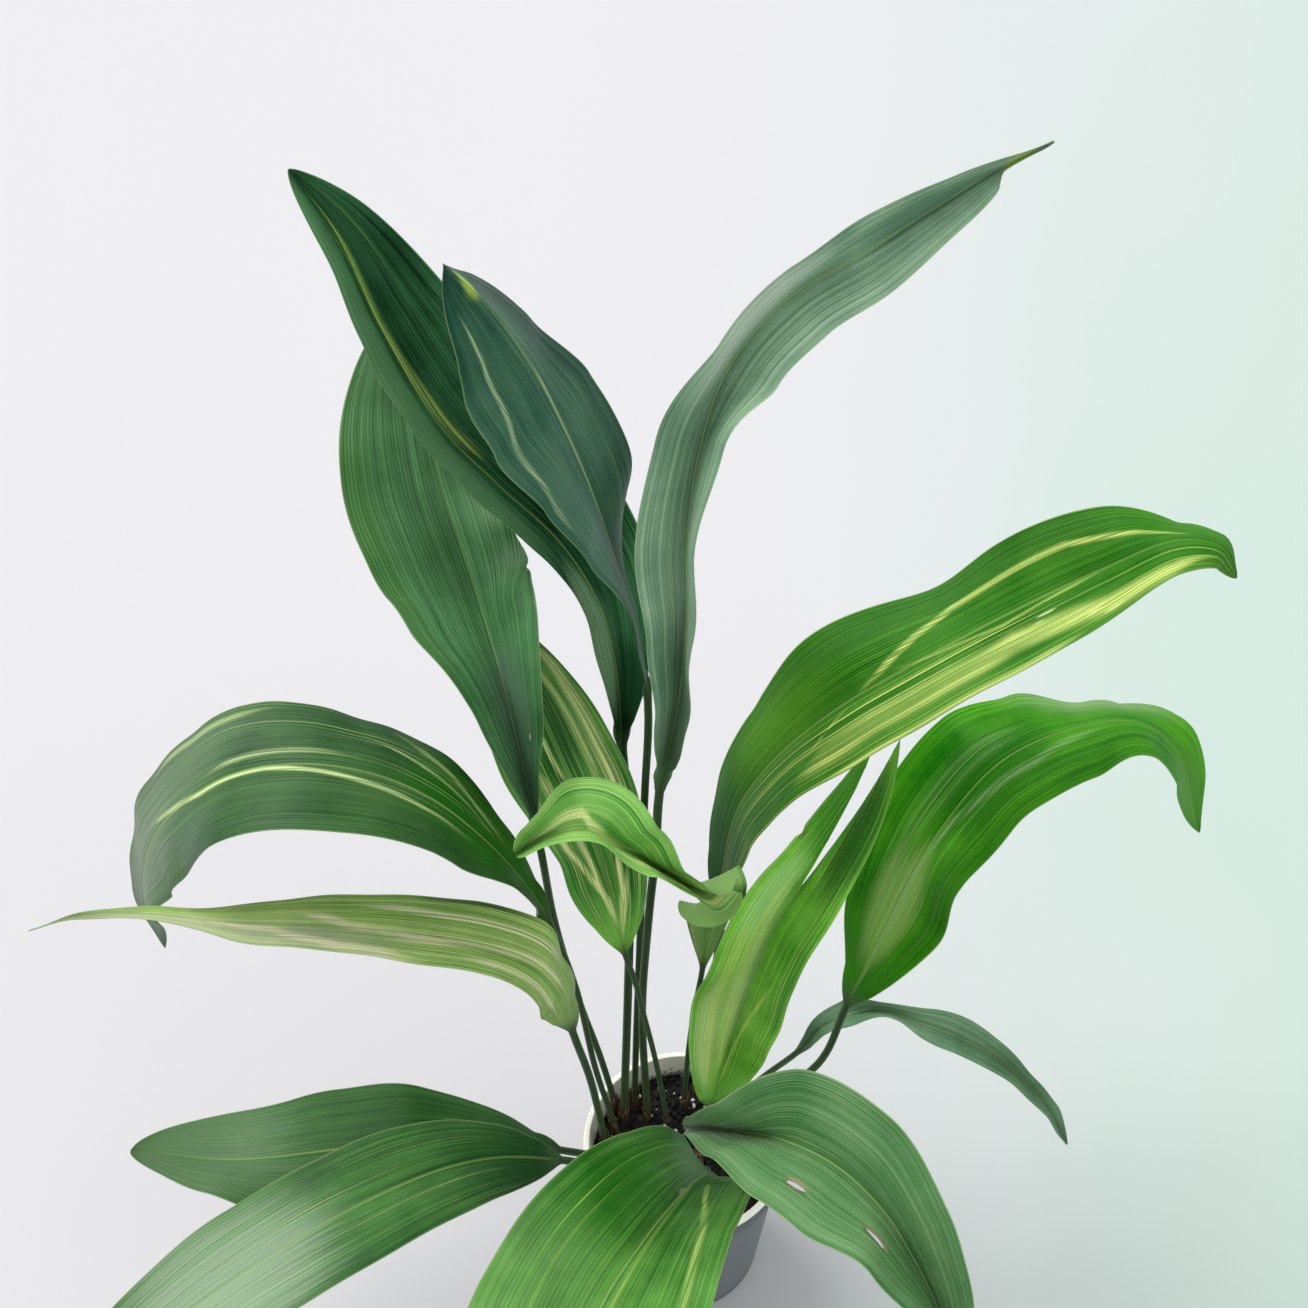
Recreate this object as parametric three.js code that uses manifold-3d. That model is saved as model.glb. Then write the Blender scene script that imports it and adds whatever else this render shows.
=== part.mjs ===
// Potted cast iron plant: a nursery pot of compost with sixteen leaves, each grown as one stalk and blade.
// Millimetres, Z up, origin at the middle of the pot's underside, front of the plant towards -Y.
import * as THREE from 'three';
import { mergeVertices } from 'three/addons/utils/BufferGeometryUtils.js';
import Module from 'manifold-3d';

const wasm = await Module();
wasm.setup();

// Pot
const POT_HEIGHT = 120;
const POT_RIM_RADIUS = 65;
const POT_BASE_RADIUS = 51;
const POT_WALL = 1.5;
const POT_FLOOR = 2.4;
const POT_BAND_HEIGHT = 13;
const POT_BAND_STEP = 3;
const POT_LIP_WIDTH = 4;
const POT_SIDES = 64;
const DRAIN_HOLES = 4;
const DRAIN_RADIUS = 4.5;
const DRAIN_CIRCLE_RADIUS = 34;
const DRAIN_SIDES = 24;
const POT_FOOT_ROUNDING = 1.5;
const POT_RIM_ROUNDING = 1.4;
const POT_LIP_ROUNDING = 0.8;
const POT_FLOOR_FILLET = 2;
const POT_COLOUR = 0x6e7377;
const POT_ROUGHNESS = 0.55;

// Compost
const SOIL_LEVEL = 103;
const SOIL_GAP = 0.45;
const SOIL_SECTORS = 48;
const SOIL_RINGS = [9, 18, 27, 35, 43, 50, 55];
const HOLE_CLEARANCE = 0.5;
const STALK_DEPTH = 15;
const HOLE_DEPTH = 16;
const HOLE_ABOVE = 9;
const HOLE_SIDES = 12;
const STALK_SHARE_IN_HOLE = 0.53;
const SOIL_ABOVE_FLOOR = 2;
const SOIL_EDGE_DROP = 1;
const LUMP_HEIGHTS = [1.1, 0.8];
const LUMP_LENGTHS = [6.1, 7.3, 3.4, 4.9];
const SOIL_COLOUR = 0x201a16;
const SOIL_ROUGHNESS = 0.95;

// Leaves
const LIGHT = new THREE.Vector3(-20, -470, 880);
const BLADE_THICKNESS = 0.85;
const KEEL_DEPTH_AT_BASE = 1.3;
const KEEL_DEPTH_AT_TIP = 0.5;
const MITRE_LIMIT = 2.6;
const TIP_HALF_WIDTH = 0.6;
const BLADE_ROWS = 22;
const STALK_ROWS = 7;
const SPINE_STEPS = 40;
const FOLD_START = 0.06;
const BLADE_START = 0.07;
const COLUMNS = [-1, -0.55, 0, 0.55, 1];
const STALK_OUTLINE = [0.33, 0.83, 1, 0.83, 0.33];
const WELD = 1e-4;
const SPLIT_NOTCH = 0.1;
const SPLIT_PAST_TIP = 12;
const LEAF_ROUGHNESS = 0.5;

// Each leaf: where the stalk leaves the compost, points up the stalk, points along the midrib of the
// blade, the full width, where along the blade it is widest (rise, fall), the stalk's diameter and the
// fold of the left and right half in degrees at shares of the blade's length.
const LEAVES = [
  {
    name: 'leaf_tall_left',
    root: [-40, 24, 103],
    stem: [[-36, 34, 216], [-34, 42, 298], [-35, 52, 369]],
    blade: [[-37, 58, 401], [-40, 70, 450], [-48, 82, 480], [-68, 96, 509], [-100, 106, 539],
      [-126, 113, 567], [-152, 126, 615], [-170, 135, 660], [-187, 140, 684]],
    width: 94,
    shape: [0.9, 0.75],
    fold: [[0, 70, 60], [0.15, 62, 45], [0.3, 74, 20], [0.5, 76, 5], [0.8, 74, 15], [1, 60, 45]],
    stalk: 5.2,
    colour: 0x2f5a37,
  },
  {
    name: 'leaf_tall_middle',
    root: [-33, 33, 103],
    stem: [[-31, 37, 182], [-28, 40, 274], [-25, 40, 381]],
    blade: [[-23, 40, 451], [-29, 38, 500], [-42, 34, 557], [-54, 24, 603], [-68, 11, 647],
      [-80, -6, 678], [-94, -20, 701]],
    width: 82,
    shape: [1.2, 0.7],
    fold: [[0, 84, -84], [0.25, 86, -84], [0.45, 72, -50], [0.6, 58, -60], [0.72, 41, -76],
      [0.85, 24, -86], [1, 18, -88]],
    stalk: 4.2,
    colour: 0x365c4a,
  },
  {
    name: 'leaf_broad_left',
    root: [-44, 30, 103],
    stem: [[-54, 31, 162], [-65, 30, 218], [-76, 26, 294]],
    blade: [[-81, 15, 380], [-94, 34, 463], [-112, 84, 488], [-132, 126, 529], [-145, 168, 565],
      [-153, 205, 594]],
    width: 106,
    shape: [1.25, 0.85],
    fold: [[0, 82, 78], [0.12, 70, 70], [0.25, 57, 60], [0.38, 33, 50], [0.46, 29, 30],
      [0.54, 27, -35], [0.75, 16, -52], [1, 20, -30]],
    stalk: 4.2,
    colour: 0x3d6e41,
  },
  {
    name: 'leaf_tall_right',
    root: [-24, 25, 103],
    stem: [[-27, 21, 224], [-23, 20, 307], [-19, 19, 364]],
    blade: [[-17, 18, 409], [-8, 17, 470], [-5, 18, 518], [-5, 26, 554], [0, 46, 589], [13, 70, 618],
      [40, 90, 643], [77, 111, 657], [110, 127, 672], [138, 140, 684], [164, 150, 693]],
    width: 58,
    shape: [0.7, 0.8],
    fold: [[0, 80, 50], [0.15, 59, 72], [0.25, 46, 84], [0.35, 36, 84], [0.45, 48, 70],
      [0.55, 74, 42], [0.65, 69, 32], [0.75, 52, 26], [0.87, 62, 32], [1, 84, 84]],
    stalk: 4.8,
    colour: 0x4f6f55,
  },
  {
    name: 'leaf_inner_striped',
    root: [-11, 22, 103],
    stem: [[-19, 15, 182], [-26, 10, 234], [-31, 7, 270]],
    blade: [[-36, 8, 291], [-44, 16, 336], [-56, 32, 374], [-72, 50, 408], [-88, 66, 443], [-104, 82, 477]],
    width: 76,
    shape: [1, 0.8],
    fold: [[0, 45, 45], [0.12, 0, 40], [0.3, -40, 36], [0.6, -30, 38], [1, -20, 42]],
    stalk: 3.4,
    colour: 0x8ba35e,
  },
  {
    name: 'leaf_inner_twisted',
    root: [0, 33, 103],
    stem: [[2, 33, 167], [5, 33, 208]],
    blade: [[9, 32, 249], [10, 30, 286], [10, 23, 320], [8, 9, 347], [-3, -8, 368], [-17, -21, 393],
      [-34, -32, 418], [-52, -38, 438], [-68, -43, 439], [-83, -45, 430]],
    width: 56,
    shape: [0.9, 0.4],
    fold: [[0, 10, 10], [0.24, -12, -12], [0.3, 40, 0], [0.36, 84, 20], [0.42, 82, 64], [0.5, 78, 84],
      [0.6, 82, 85], [0.7, 82, 81], [0.79, 82, 52], [0.87, 76, 0], [0.95, 80, 66], [1, 84, 84]],
    stalk: 3.4,
    colour: 0x93ab66,
  },
  {
    name: 'leaf_arching_left',
    root: [-44, 15, 103],
    stem: [[-56, 12, 177], [-65, 8, 262]],
    blade: [[-77, 2, 326], [-89, -3, 365], [-106, -8, 401], [-128, -11, 431], [-155, -13, 450],
      [-187, -13, 456], [-223, -10, 446], [-258, -4, 416], [-281, 2, 382], [-296, 8, 333], [-296, 12, 292]],
    width: 84,
    shape: [0.9, 0.9],
    fold: [[0, 82, -60], [0.15, 77, -55], [0.25, 56, -51], [0.4, 45, -50], [0.55, 47, -42],
      [0.65, 46, -52], [0.74, 50, -60], [0.84, 80, -75], [1, 60, -80]],
    stalk: 3.8,
    colour: 0x44654a,
  },
  {
    name: 'leaf_narrow_left',
    root: [-51, 5, 103],
    stem: [[-58, -6, 192]],
    blade: [[-66, -18, 258], [-69, -29, 308], [-83, -38, 344], [-107, -43, 363], [-144, -46, 375],
      [-183, -47, 381], [-226, -47, 383], [-264, -47, 389], [-298, -46, 387], [-327, -45, 375]],
    width: 50,
    shape: [0.8, 1.5],
    fold: [[0, 30, -70], [0.12, 25, -62], [0.25, 44, -34], [0.35, 56, -36], [0.65, 54, -44],
      [0.8, 68, -62], [1, 60, -70]],
    stalk: 4.6,
    colour: 0x7f9160,
  },
  {
    name: 'leaf_low_left',
    root: [-38, -6, 103],
    stem: [[-58, -19, 132]],
    blade: [[-77, -30, 156], [-109, -42, 186], [-153, -50, 201], [-205, -52, 192], [-265, -52, 182],
      [-321, -50, 189]],
    width: 80,
    shape: [0.8, 0.6],
    fold: [[0, 40, -50], [0.2, 33, -42], [0.4, 33, -33], [0.55, 33, -33], [0.8, 58, -36], [1, 65, -38]],
    stalk: 4.4,
    colour: 0x3f6a45,
  },
  {
    name: 'leaf_front_left',
    root: [-24, -16, 103],
    stem: [[-50, -32, 140]],
    blade: [[-74, -48, 175], [-107, -62, 201], [-137, -78, 215], [-176, -100, 219], [-215, -122, 214],
      [-254, -150, 208], [-300, -182, 190], [-338, -212, 160]],
    width: 76,
    shape: [0.8, 0.95],
    fold: [[0, 20, -30], [0.2, 38, -28], [0.5, 40, -32], [0.7, 40, -22], [1, 42, -20]],
    stalk: 4.4,
    colour: 0x4a7a4c,
  },
  {
    name: 'leaf_front_middle',
    root: [8, 0, 103],
    stem: [[9, -26, 130]],
    blade: [[11, -50, 166], [-4, -92, 217], [-24, -128, 237], [-45, -168, 249], [-68, -232, 250],
      [-92, -290, 226], [-115, -340, 175]],
    width: 116,
    shape: [0.65, 0.7],
    fold: [[0, 60, 20], [0.1, 50, 6], [0.2, 58, 2], [0.3, 54, 4], [0.45, 38, -10], [1, 34, -10]],
    stalk: 4.8,
    colour: 0x5a8f4c,
  },
  {
    name: 'leaf_front_right',
    root: [19, 9, 103],
    stem: [[12, -8, 160]],
    blade: [[-1, -54, 218], [18, -86, 267], [44, -110, 296], [68, -128, 302], [87, -145, 295],
      [102, -160, 277], [114, -172, 254], [125, -184, 214]],
    width: 88,
    shape: [1.4, 1.2],
    fold: [[0, 70, 72], [0.06, 72, 74], [0.15, 82, 82], [0.25, 84, 80], [0.35, 76, 66],
      [0.45, 38, 48], [0.55, 44, 42], [0.65, 56, 60], [0.8, 62, 74], [1, 60, 76]],
    stalk: 4.8,
    colour: 0x55724f,
  },
  {
    name: 'leaf_split_right',
    root: [14, 18, 103],
    stem: [[15, 16, 116]],
    blade: [[16, 14, 132], [28, 8, 232], [46, 10, 310], [69, 20, 355], [91, 36, 392], [109, 54, 429]],
    width: 62,
    shape: [0.7, 0.7],
    fold: [[0, 50, 15], [0.15, 40, 12], [0.35, 26, 30], [0.5, 44, 38], [0.8, 46, 30], [1, 46, 30]],
    split: { from: 0.66, gap: 0.22 },
    stalk: 4.6,
    colour: 0x6f9a45,
  },
  {
    name: 'leaf_long_right',
    root: [8, 45, 103],
    stem: [[11, 46, 148], [17, 47, 219]],
    blade: [[20, 46, 272], [19, 42, 324], [26, 36, 381], [46, 30, 425], [74, 28, 458], [101, 28, 480],
      [144, 30, 510], [185, 29, 538], [214, 22, 559], [232, 18, 558], [242, 16, 543]],
    width: 80,
    shape: [0.9, 0.7],
    fold: [[0, -45, 60], [0.2, -60, 62], [0.35, -40, 54], [0.5, -14, 47], [0.65, -42, 48],
      [0.83, -4, 44], [0.92, -68, 45], [1, -78, 50]],
    stalk: 4.8,
    colour: 0x6b9748,
  },
  {
    name: 'leaf_arching_right',
    root: [31, 7, 103],
    stem: [[54, 10, 146], [83, 16, 179]],
    blade: [[96, 22, 227], [117, 34, 295], [140, 46, 353], [169, 54, 397], [203, 55, 419],
      [232, 50, 428], [255, 45, 413], [281, 40, 356]],
    width: 88,
    shape: [0.8, 0.85],
    fold: [[0, -40, 30], [0.2, -18, 24], [0.35, -22, 52], [0.5, -26, 48], [0.58, -46, 46],
      [0.67, -72, 47], [0.76, -77, 66], [0.86, -58, 68], [1, -58, 65]],
    stalk: 4.6,
    colour: 0x4f8f3a,
  },
  {
    name: 'leaf_small_right',
    root: [27, 25, 103],
    stem: [[46, 26, 142]],
    blade: [[71, 33, 164], [86, 36, 186], [100, 38, 193], [121, 39, 200], [147, 38, 191], [173, 36, 179],
      [205, 33, 154], [238, 30, 111], [261, 28, 67]],
    width: 32,
    shape: [0.8, 0.9],
    fold: [[0, 60, 40], [0.15, 0, 58], [0.25, 70, 74], [0.4, 50, 38], [0.65, 66, 62], [1, 40, 70]],
    stalk: 3.8,
    colour: 0x35583c,
  },
];

// Value between the keys of a table, eased at every key.
function easeKeys(keys, t, column) {
  let i = 0;
  while (i < keys.length - 2 && t >= keys[i + 1][0]) i += 1;
  const share = THREE.MathUtils.clamp((t - keys[i][0]) / (keys[i + 1][0] - keys[i][0]), 0, 1);
  const eased = share * share * (3 - 2 * share);
  return THREE.MathUtils.lerp(keys[i][column], keys[i + 1][column], eased);
}

function smooth(value) {
  const v = THREE.MathUtils.clamp(value, 0, 1);
  return v * v * (3 - 2 * v);
}

// The leaf's middle line, with the length at which its blade begins.
function spineOf(leaf) {
  const points = [leaf.root, ...leaf.stem, ...leaf.blade].map((p) => new THREE.Vector3(...p));
  const curve = new THREE.CatmullRomCurve3(points, false, 'centripetal');
  curve.arcLengthDivisions = SPINE_STEPS * (points.length - 1);
  const lengths = curve.getLengths();
  const total = lengths[lengths.length - 1];
  return { curve, total, bladeFrom: lengths[SPINE_STEPS * (1 + leaf.stem.length)] };
}

// Point, side and upper directions of the leaf at a length along its spine; t runs 0 to 1 on the blade.
function stationAt(leaf, spine, length) {
  const share = Math.max(length, 0) / spine.total;
  const tangent = spine.curve.getTangentAt(Math.min(share, 1));
  const point = spine.curve.getPointAt(Math.min(share, 1));
  if (length < 0) point.addScaledVector(tangent, length);
  const t = THREE.MathUtils.clamp((length - spine.bladeFrom) / (spine.total - spine.bladeFrom), 0, 1);
  const side = tangent.clone().cross(LIGHT.clone().sub(point)).normalize();
  const upper = side.clone().cross(tangent).normalize();
  return { point, side, upper, t };
}

// Half the blade's width, easing into the half width of the stalk.
function halfWidthAt(leaf, t) {
  const [rise, fall] = leaf.shape;
  const widest = rise / (rise + fall);
  const peak = widest ** rise * (1 - widest) ** fall;
  const blade = (leaf.width / 2) * (t ** rise * (1 - t) ** fall) / peak;
  return Math.hypot(blade, (leaf.stalk / 2) * (1 - t), TIP_HALF_WIDTH);
}

// Ten points round the leaf at one station: the upper face from left to right, then the lower face back.
function ringAt(leaf, station) {
  const { point, side, upper, t } = station;
  const half = t > 0 ? halfWidthAt(leaf, t) : leaf.stalk / 2;
  const folding = THREE.MathUtils.clamp(t / FOLD_START, 0, 1);
  const left = THREE.MathUtils.degToRad(easeKeys(leaf.fold, t, 1)) * folding;
  const right = THREE.MathUtils.degToRad(easeKeys(leaf.fold, t, 2)) * folding;
  const bladeness = smooth(t / BLADE_START);
  const mitre = Math.min(1 / Math.cos((left + right) / 2), MITRE_LIMIT);
  const keel = THREE.MathUtils.lerp(KEEL_DEPTH_AT_BASE, KEEL_DEPTH_AT_TIP, t);
  const place = (across, along) => point.clone().addScaledVector(side, across).addScaledVector(upper, along);
  const top = [];
  const bottom = [];
  COLUMNS.forEach((u, column) => {
    const fold = u < 0 ? left : right;
    const across = half * u * Math.cos(fold);
    const along = half * Math.abs(u) * Math.sin(fold);
    const lean = u === 0 ? (left - right) / 2 : -Math.sign(u) * fold;
    const roundness = (leaf.stalk / 2) * STALK_OUTLINE[column];
    const sheet = (BLADE_THICKNESS / 2) * (u === 0 ? mitre : 1);
    const above = THREE.MathUtils.lerp(roundness, sheet, bladeness);
    const below = THREE.MathUtils.lerp(roundness, sheet + (u === 0 ? keel : 0), bladeness);
    top.push(place(across + above * Math.sin(lean), along + above * Math.cos(lean)));
    bottom.push(place(across - below * Math.sin(lean), along - below * Math.cos(lean)));
  });
  return [...top, ...bottom.reverse()];
}

// Closed loft through rings of ten points, both faces cut into the same triangles.
function loftRings(rings) {
  const count = rings[0].length;
  const columns = count / 2;
  const vertices = rings.flat().flatMap((p) => [p.x, p.y, p.z]);
  const faces = [];
  for (let row = 0; row < rings.length - 1; row += 1) {
    for (let j = 0; j < count; j += 1) {
      const a = row * count + j;
      const b = row * count + (j + 1) % count;
      const c = b + count;
      const d = a + count;
      if (j < columns) faces.push(a, b, c, a, c, d);
      else faces.push(a, b, d, b, c, d);
    }
  }
  const last = (rings.length - 1) * count;
  for (let j = 0; j < columns - 1; j += 1) {
    const across = count - 1 - j;
    faces.push(j, across, across - 1, j, across - 1, j + 1);
    faces.push(last + j, last + across - 1, last + across, last + j, last + j + 1, last + across - 1);
  }
  return solidOf(vertices, faces);
}

function solidOf(vertices, faces) {
  const geometry = new THREE.BufferGeometry();
  geometry.setAttribute('position', new THREE.Float32BufferAttribute(vertices, 3));
  geometry.setIndex(faces);
  return geometry;
}

function toManifold(geometry) {
  const bare = geometry.clone();
  bare.deleteAttribute('normal');
  bare.deleteAttribute('uv');
  const merged = mergeVertices(bare, WELD);
  const vertProperties = Float32Array.from(merged.attributes.position.array);
  const triVerts = Uint32Array.from(merged.index.array);
  return new wasm.Manifold(new wasm.Mesh({ numProp: 3, vertProperties, triVerts }));
}

function fromManifold(solid) {
  const mesh = solid.getMesh();
  return solidOf(Array.from(mesh.vertProperties), Array.from(mesh.triVerts));
}

// Wedge that opens the blade's end along its midrib, seen from the upper face.
function splitWedge(leaf, spine) {
  const reach = leaf.width;
  const rings = [leaf.split.from, 1].map((share, end) => {
    const length = spine.bladeFrom + share * (spine.total - spine.bladeFrom);
    const { point, side, upper } = stationAt(leaf, spine, length);
    const ahead = spine.curve.getTangentAt(length / spine.total).multiplyScalar(end * SPLIT_PAST_TIP);
    const gap = end === 0 ? SPLIT_NOTCH : leaf.split.gap * leaf.width / 2;
    const corner = (across, along) => point.clone().add(ahead)
      .addScaledVector(side, across).addScaledVector(upper, along);
    return [corner(-gap, reach), corner(gap, reach), corner(gap, -reach), corner(-gap, -reach)];
  });
  return loftRings(rings);
}

function leafGeometry(leaf) {
  const spine = spineOf(leaf);
  const lengths = [-STALK_DEPTH];
  for (let i = 0; i < STALK_ROWS; i += 1) lengths.push((spine.bladeFrom * i) / STALK_ROWS);
  for (let i = 0; i <= BLADE_ROWS; i += 1) {
    lengths.push(spine.bladeFrom + ((spine.total - spine.bladeFrom) * i) / BLADE_ROWS);
  }
  const whole = loftRings(lengths.map((length) => ringAt(leaf, stationAt(leaf, spine, length))));
  if (!leaf.split) return whole;
  return fromManifold(toManifold(whole).subtract(toManifold(splitWedge(leaf, spine))));
}

// Radius of the pot's inner wall at a height.
function potInnerRadius(z) {
  const slope = (POT_RIM_RADIUS - POT_LIP_WIDTH - (POT_BASE_RADIUS - POT_WALL)) / POT_HEIGHT;
  return POT_BASE_RADIUS - POT_WALL + slope * z;
}

function potGeometry() {
  const outer = (z) => potInnerRadius(z) + POT_WALL;
  const bandFrom = POT_HEIGHT - POT_BAND_HEIGHT;
  const profile = [
    [0, 0],
    [POT_BASE_RADIUS - POT_FOOT_ROUNDING, 0],
    [outer(POT_FOOT_ROUNDING), POT_FOOT_ROUNDING],
    [outer(bandFrom), bandFrom],
    [POT_RIM_RADIUS - POT_LIP_ROUNDING, bandFrom + POT_LIP_ROUNDING / 2],
    [POT_RIM_RADIUS, bandFrom + POT_BAND_STEP / 2],
    [POT_RIM_RADIUS, POT_HEIGHT - POT_RIM_ROUNDING],
    [POT_RIM_RADIUS - POT_RIM_ROUNDING / 3, POT_HEIGHT - POT_RIM_ROUNDING / 3],
    [POT_RIM_RADIUS - POT_RIM_ROUNDING, POT_HEIGHT],
    [potInnerRadius(POT_HEIGHT) + POT_LIP_ROUNDING, POT_HEIGHT],
    [potInnerRadius(POT_HEIGHT), POT_HEIGHT - POT_LIP_ROUNDING],
    [potInnerRadius(POT_FLOOR + POT_FLOOR_FILLET), POT_FLOOR + POT_FLOOR_FILLET],
    [potInnerRadius(POT_FLOOR) - POT_FLOOR_FILLET, POT_FLOOR],
    [0, POT_FLOOR],
  ];
  const lathe = new THREE.LatheGeometry(profile.map((p) => new THREE.Vector2(...p)), POT_SIDES);
  lathe.rotateX(Math.PI / 2);
  let pot = toManifold(lathe);
  for (let i = 0; i < DRAIN_HOLES; i += 1) {
    const angle = ((i + 0.5) / DRAIN_HOLES) * Math.PI * 2;
    const drain = new THREE.CylinderGeometry(DRAIN_RADIUS, DRAIN_RADIUS, 4 * POT_FLOOR, DRAIN_SIDES);
    drain.rotateX(Math.PI / 2);
    drain.translate(DRAIN_CIRCLE_RADIUS * Math.cos(angle), DRAIN_CIRCLE_RADIUS * Math.sin(angle), 0);
    pot = pot.subtract(toManifold(drain));
  }
  return fromManifold(pot);
}

// Height of the lumpy compost at a place.
function soilHeight(x, y) {
  const [wide, deep, narrow, short] = LUMP_LENGTHS;
  const broad = LUMP_HEIGHTS[0] * Math.sin(x / wide + 1) * Math.cos(y / deep);
  const fine = LUMP_HEIGHTS[1] * Math.sin(x / narrow - y / short);
  return SOIL_LEVEL + broad + fine;
}

function soilGeometry() {
  const floor = POT_FLOOR + SOIL_ABOVE_FLOOR;
  const edge = potInnerRadius(SOIL_LEVEL) - SOIL_GAP;
  const vertices = [0, 0, soilHeight(0, 0)];
  const faces = [];
  [...SOIL_RINGS, edge].forEach((radius) => {
    for (let k = 0; k < SOIL_SECTORS; k += 1) {
      const angle = (k / SOIL_SECTORS) * Math.PI * 2;
      const x = radius * Math.cos(angle);
      const y = radius * Math.sin(angle);
      vertices.push(x, y, radius === edge ? SOIL_LEVEL - SOIL_EDGE_DROP : soilHeight(x, y));
    }
  });
  const foot = potInnerRadius(floor) - SOIL_GAP;
  for (let k = 0; k < SOIL_SECTORS; k += 1) {
    const angle = (k / SOIL_SECTORS) * Math.PI * 2;
    vertices.push(foot * Math.cos(angle), foot * Math.sin(angle), floor);
  }
  vertices.push(0, 0, floor);
  const rings = SOIL_RINGS.length + 2;
  const at = (ring, k) => 1 + ring * SOIL_SECTORS + (k % SOIL_SECTORS);
  const centreBelow = 1 + rings * SOIL_SECTORS;
  for (let k = 0; k < SOIL_SECTORS; k += 1) {
    faces.push(0, at(0, k), at(0, k + 1));
    for (let ring = 0; ring < rings - 1; ring += 1) {
      faces.push(at(ring, k), at(ring + 1, k), at(ring + 1, k + 1));
      faces.push(at(ring, k), at(ring + 1, k + 1), at(ring, k + 1));
    }
    faces.push(centreBelow, at(rings - 1, k + 1), at(rings - 1, k));
  }
  let soil = toManifold(solidOf(vertices, faces));
  LEAVES.forEach((leaf) => {
    soil = soil.subtract(toManifold(stalkHole(leaf)));
  });
  return fromManifold(soil);
}

// Plain hole round a buried stalk, following its slant.
function stalkHole(leaf) {
  const { curve } = spineOf(leaf);
  const along = curve.getTangentAt(0);
  const radius = (leaf.stalk * STALK_SHARE_IN_HOLE + HOLE_CLEARANCE) / Math.cos(Math.PI / HOLE_SIDES);
  const hole = new THREE.CylinderGeometry(radius, radius, HOLE_DEPTH + HOLE_ABOVE, HOLE_SIDES);
  hole.translate(0, (HOLE_ABOVE - HOLE_DEPTH) / 2, 0);
  hole.applyQuaternion(new THREE.Quaternion().setFromUnitVectors(new THREE.Vector3(0, 1, 0), along));
  hole.translate(...leaf.root);
  return hole;
}

function named(name, geometry, colour, roughness) {
  const material = new THREE.MeshStandardMaterial({ color: colour, roughness });
  const mesh = new THREE.Mesh(geometry, material);
  mesh.name = name;
  return mesh;
}

const group = new THREE.Group();
group.name = 'potted_cast_iron_plant';
group.add(named('pot', potGeometry(), POT_COLOUR, POT_ROUGHNESS));
group.add(named('soil', soilGeometry(), SOIL_COLOUR, SOIL_ROUGHNESS));
LEAVES.forEach((leaf) => group.add(named(leaf.name, leafGeometry(leaf), leaf.colour, LEAF_ROUGHNESS)));

export default group;
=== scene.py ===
"""Potted cast iron plant: finely modelled leaves, nursery pot and compost, with their finishes, light and view."""
import logging
import math
from dataclasses import dataclass, field
from enum import Enum
from typing import Callable, Optional, Sequence, Union

import bpy
import numpy as np
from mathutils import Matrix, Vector


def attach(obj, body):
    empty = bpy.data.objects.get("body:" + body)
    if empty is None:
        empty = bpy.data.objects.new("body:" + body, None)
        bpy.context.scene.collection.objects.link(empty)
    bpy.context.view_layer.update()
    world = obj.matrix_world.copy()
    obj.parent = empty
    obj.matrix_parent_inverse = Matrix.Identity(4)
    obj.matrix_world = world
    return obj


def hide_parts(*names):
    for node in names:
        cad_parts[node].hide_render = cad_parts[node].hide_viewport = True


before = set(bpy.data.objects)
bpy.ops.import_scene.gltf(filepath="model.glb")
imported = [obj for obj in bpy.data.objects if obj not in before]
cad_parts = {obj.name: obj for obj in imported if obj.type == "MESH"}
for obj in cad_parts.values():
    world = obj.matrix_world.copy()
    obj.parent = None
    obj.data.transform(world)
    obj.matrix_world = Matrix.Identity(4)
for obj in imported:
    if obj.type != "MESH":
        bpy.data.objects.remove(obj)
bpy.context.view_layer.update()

BODY = "root"
MM = 0.001
TURN = 2.0 * math.pi
LOG = logging.getLogger("cast_iron_plant")

Array = np.ndarray
Point = tuple[float, float, float]
Keys = tuple[tuple[float, ...], ...]
Hole = tuple[float, float, float, float]


def unit(vectors: Array) -> Array:
    """Return the vectors along the last axis at length one."""
    return vectors / np.maximum(np.linalg.norm(vectors, axis=-1, keepdims=True), 1e-12)


def ease(share: Array) -> Array:
    """Return 3s^2 - 2s^3 of a share s held between 0 and 1."""
    held = np.clip(share, 0.0, 1.0)
    return held * held * (3.0 - 2.0 * held)


def smooth(values: Array, low: float, high: float) -> Array:
    """Return 0 at low, 1 at high, eased between and held past them; low may be the larger of the two."""
    return ease((np.asarray(values, float) - low) / (high - low))


def bell(values: Array, width: float) -> Array:
    """Return exp(-(x / width)^2)."""
    return np.exp(-(values / width) ** 2)


def gathered(count: int, part: float) -> Array:
    """Return shares from 0 to 1 that stand closer at both ends, with this part of a half cosine in them."""
    share = np.linspace(0.0, 1.0, count)
    return (1.0 - part) * share + part * (1.0 - np.cos(np.pi * share)) / 2.0


def circle(count: int) -> Array:
    """Return evenly spaced points of a circle of radius one, as rows of x and y."""
    angle = np.arange(count) * TURN / count
    return np.stack([np.cos(angle), np.sin(angle)], axis=-1)


def read_keys(keys: Keys, at: Array) -> Array:
    """Read a table of keys, eased from each key to the next and held past the first and last.

    Args:
        keys: Rows of a place and the values there.
        at: Places to read.

    Returns:
        One row of values for each place.
    """
    table = np.asarray(keys, float)
    row = np.clip(np.searchsorted(table[:, 0], at, side="right") - 1, 0, len(table) - 2)
    share = ease((at - table[row, 0]) / (table[row + 1, 0] - table[row, 0]))[:, None]
    return table[row, 1:] * (1.0 - share) + table[row + 1, 1:] * share


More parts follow.
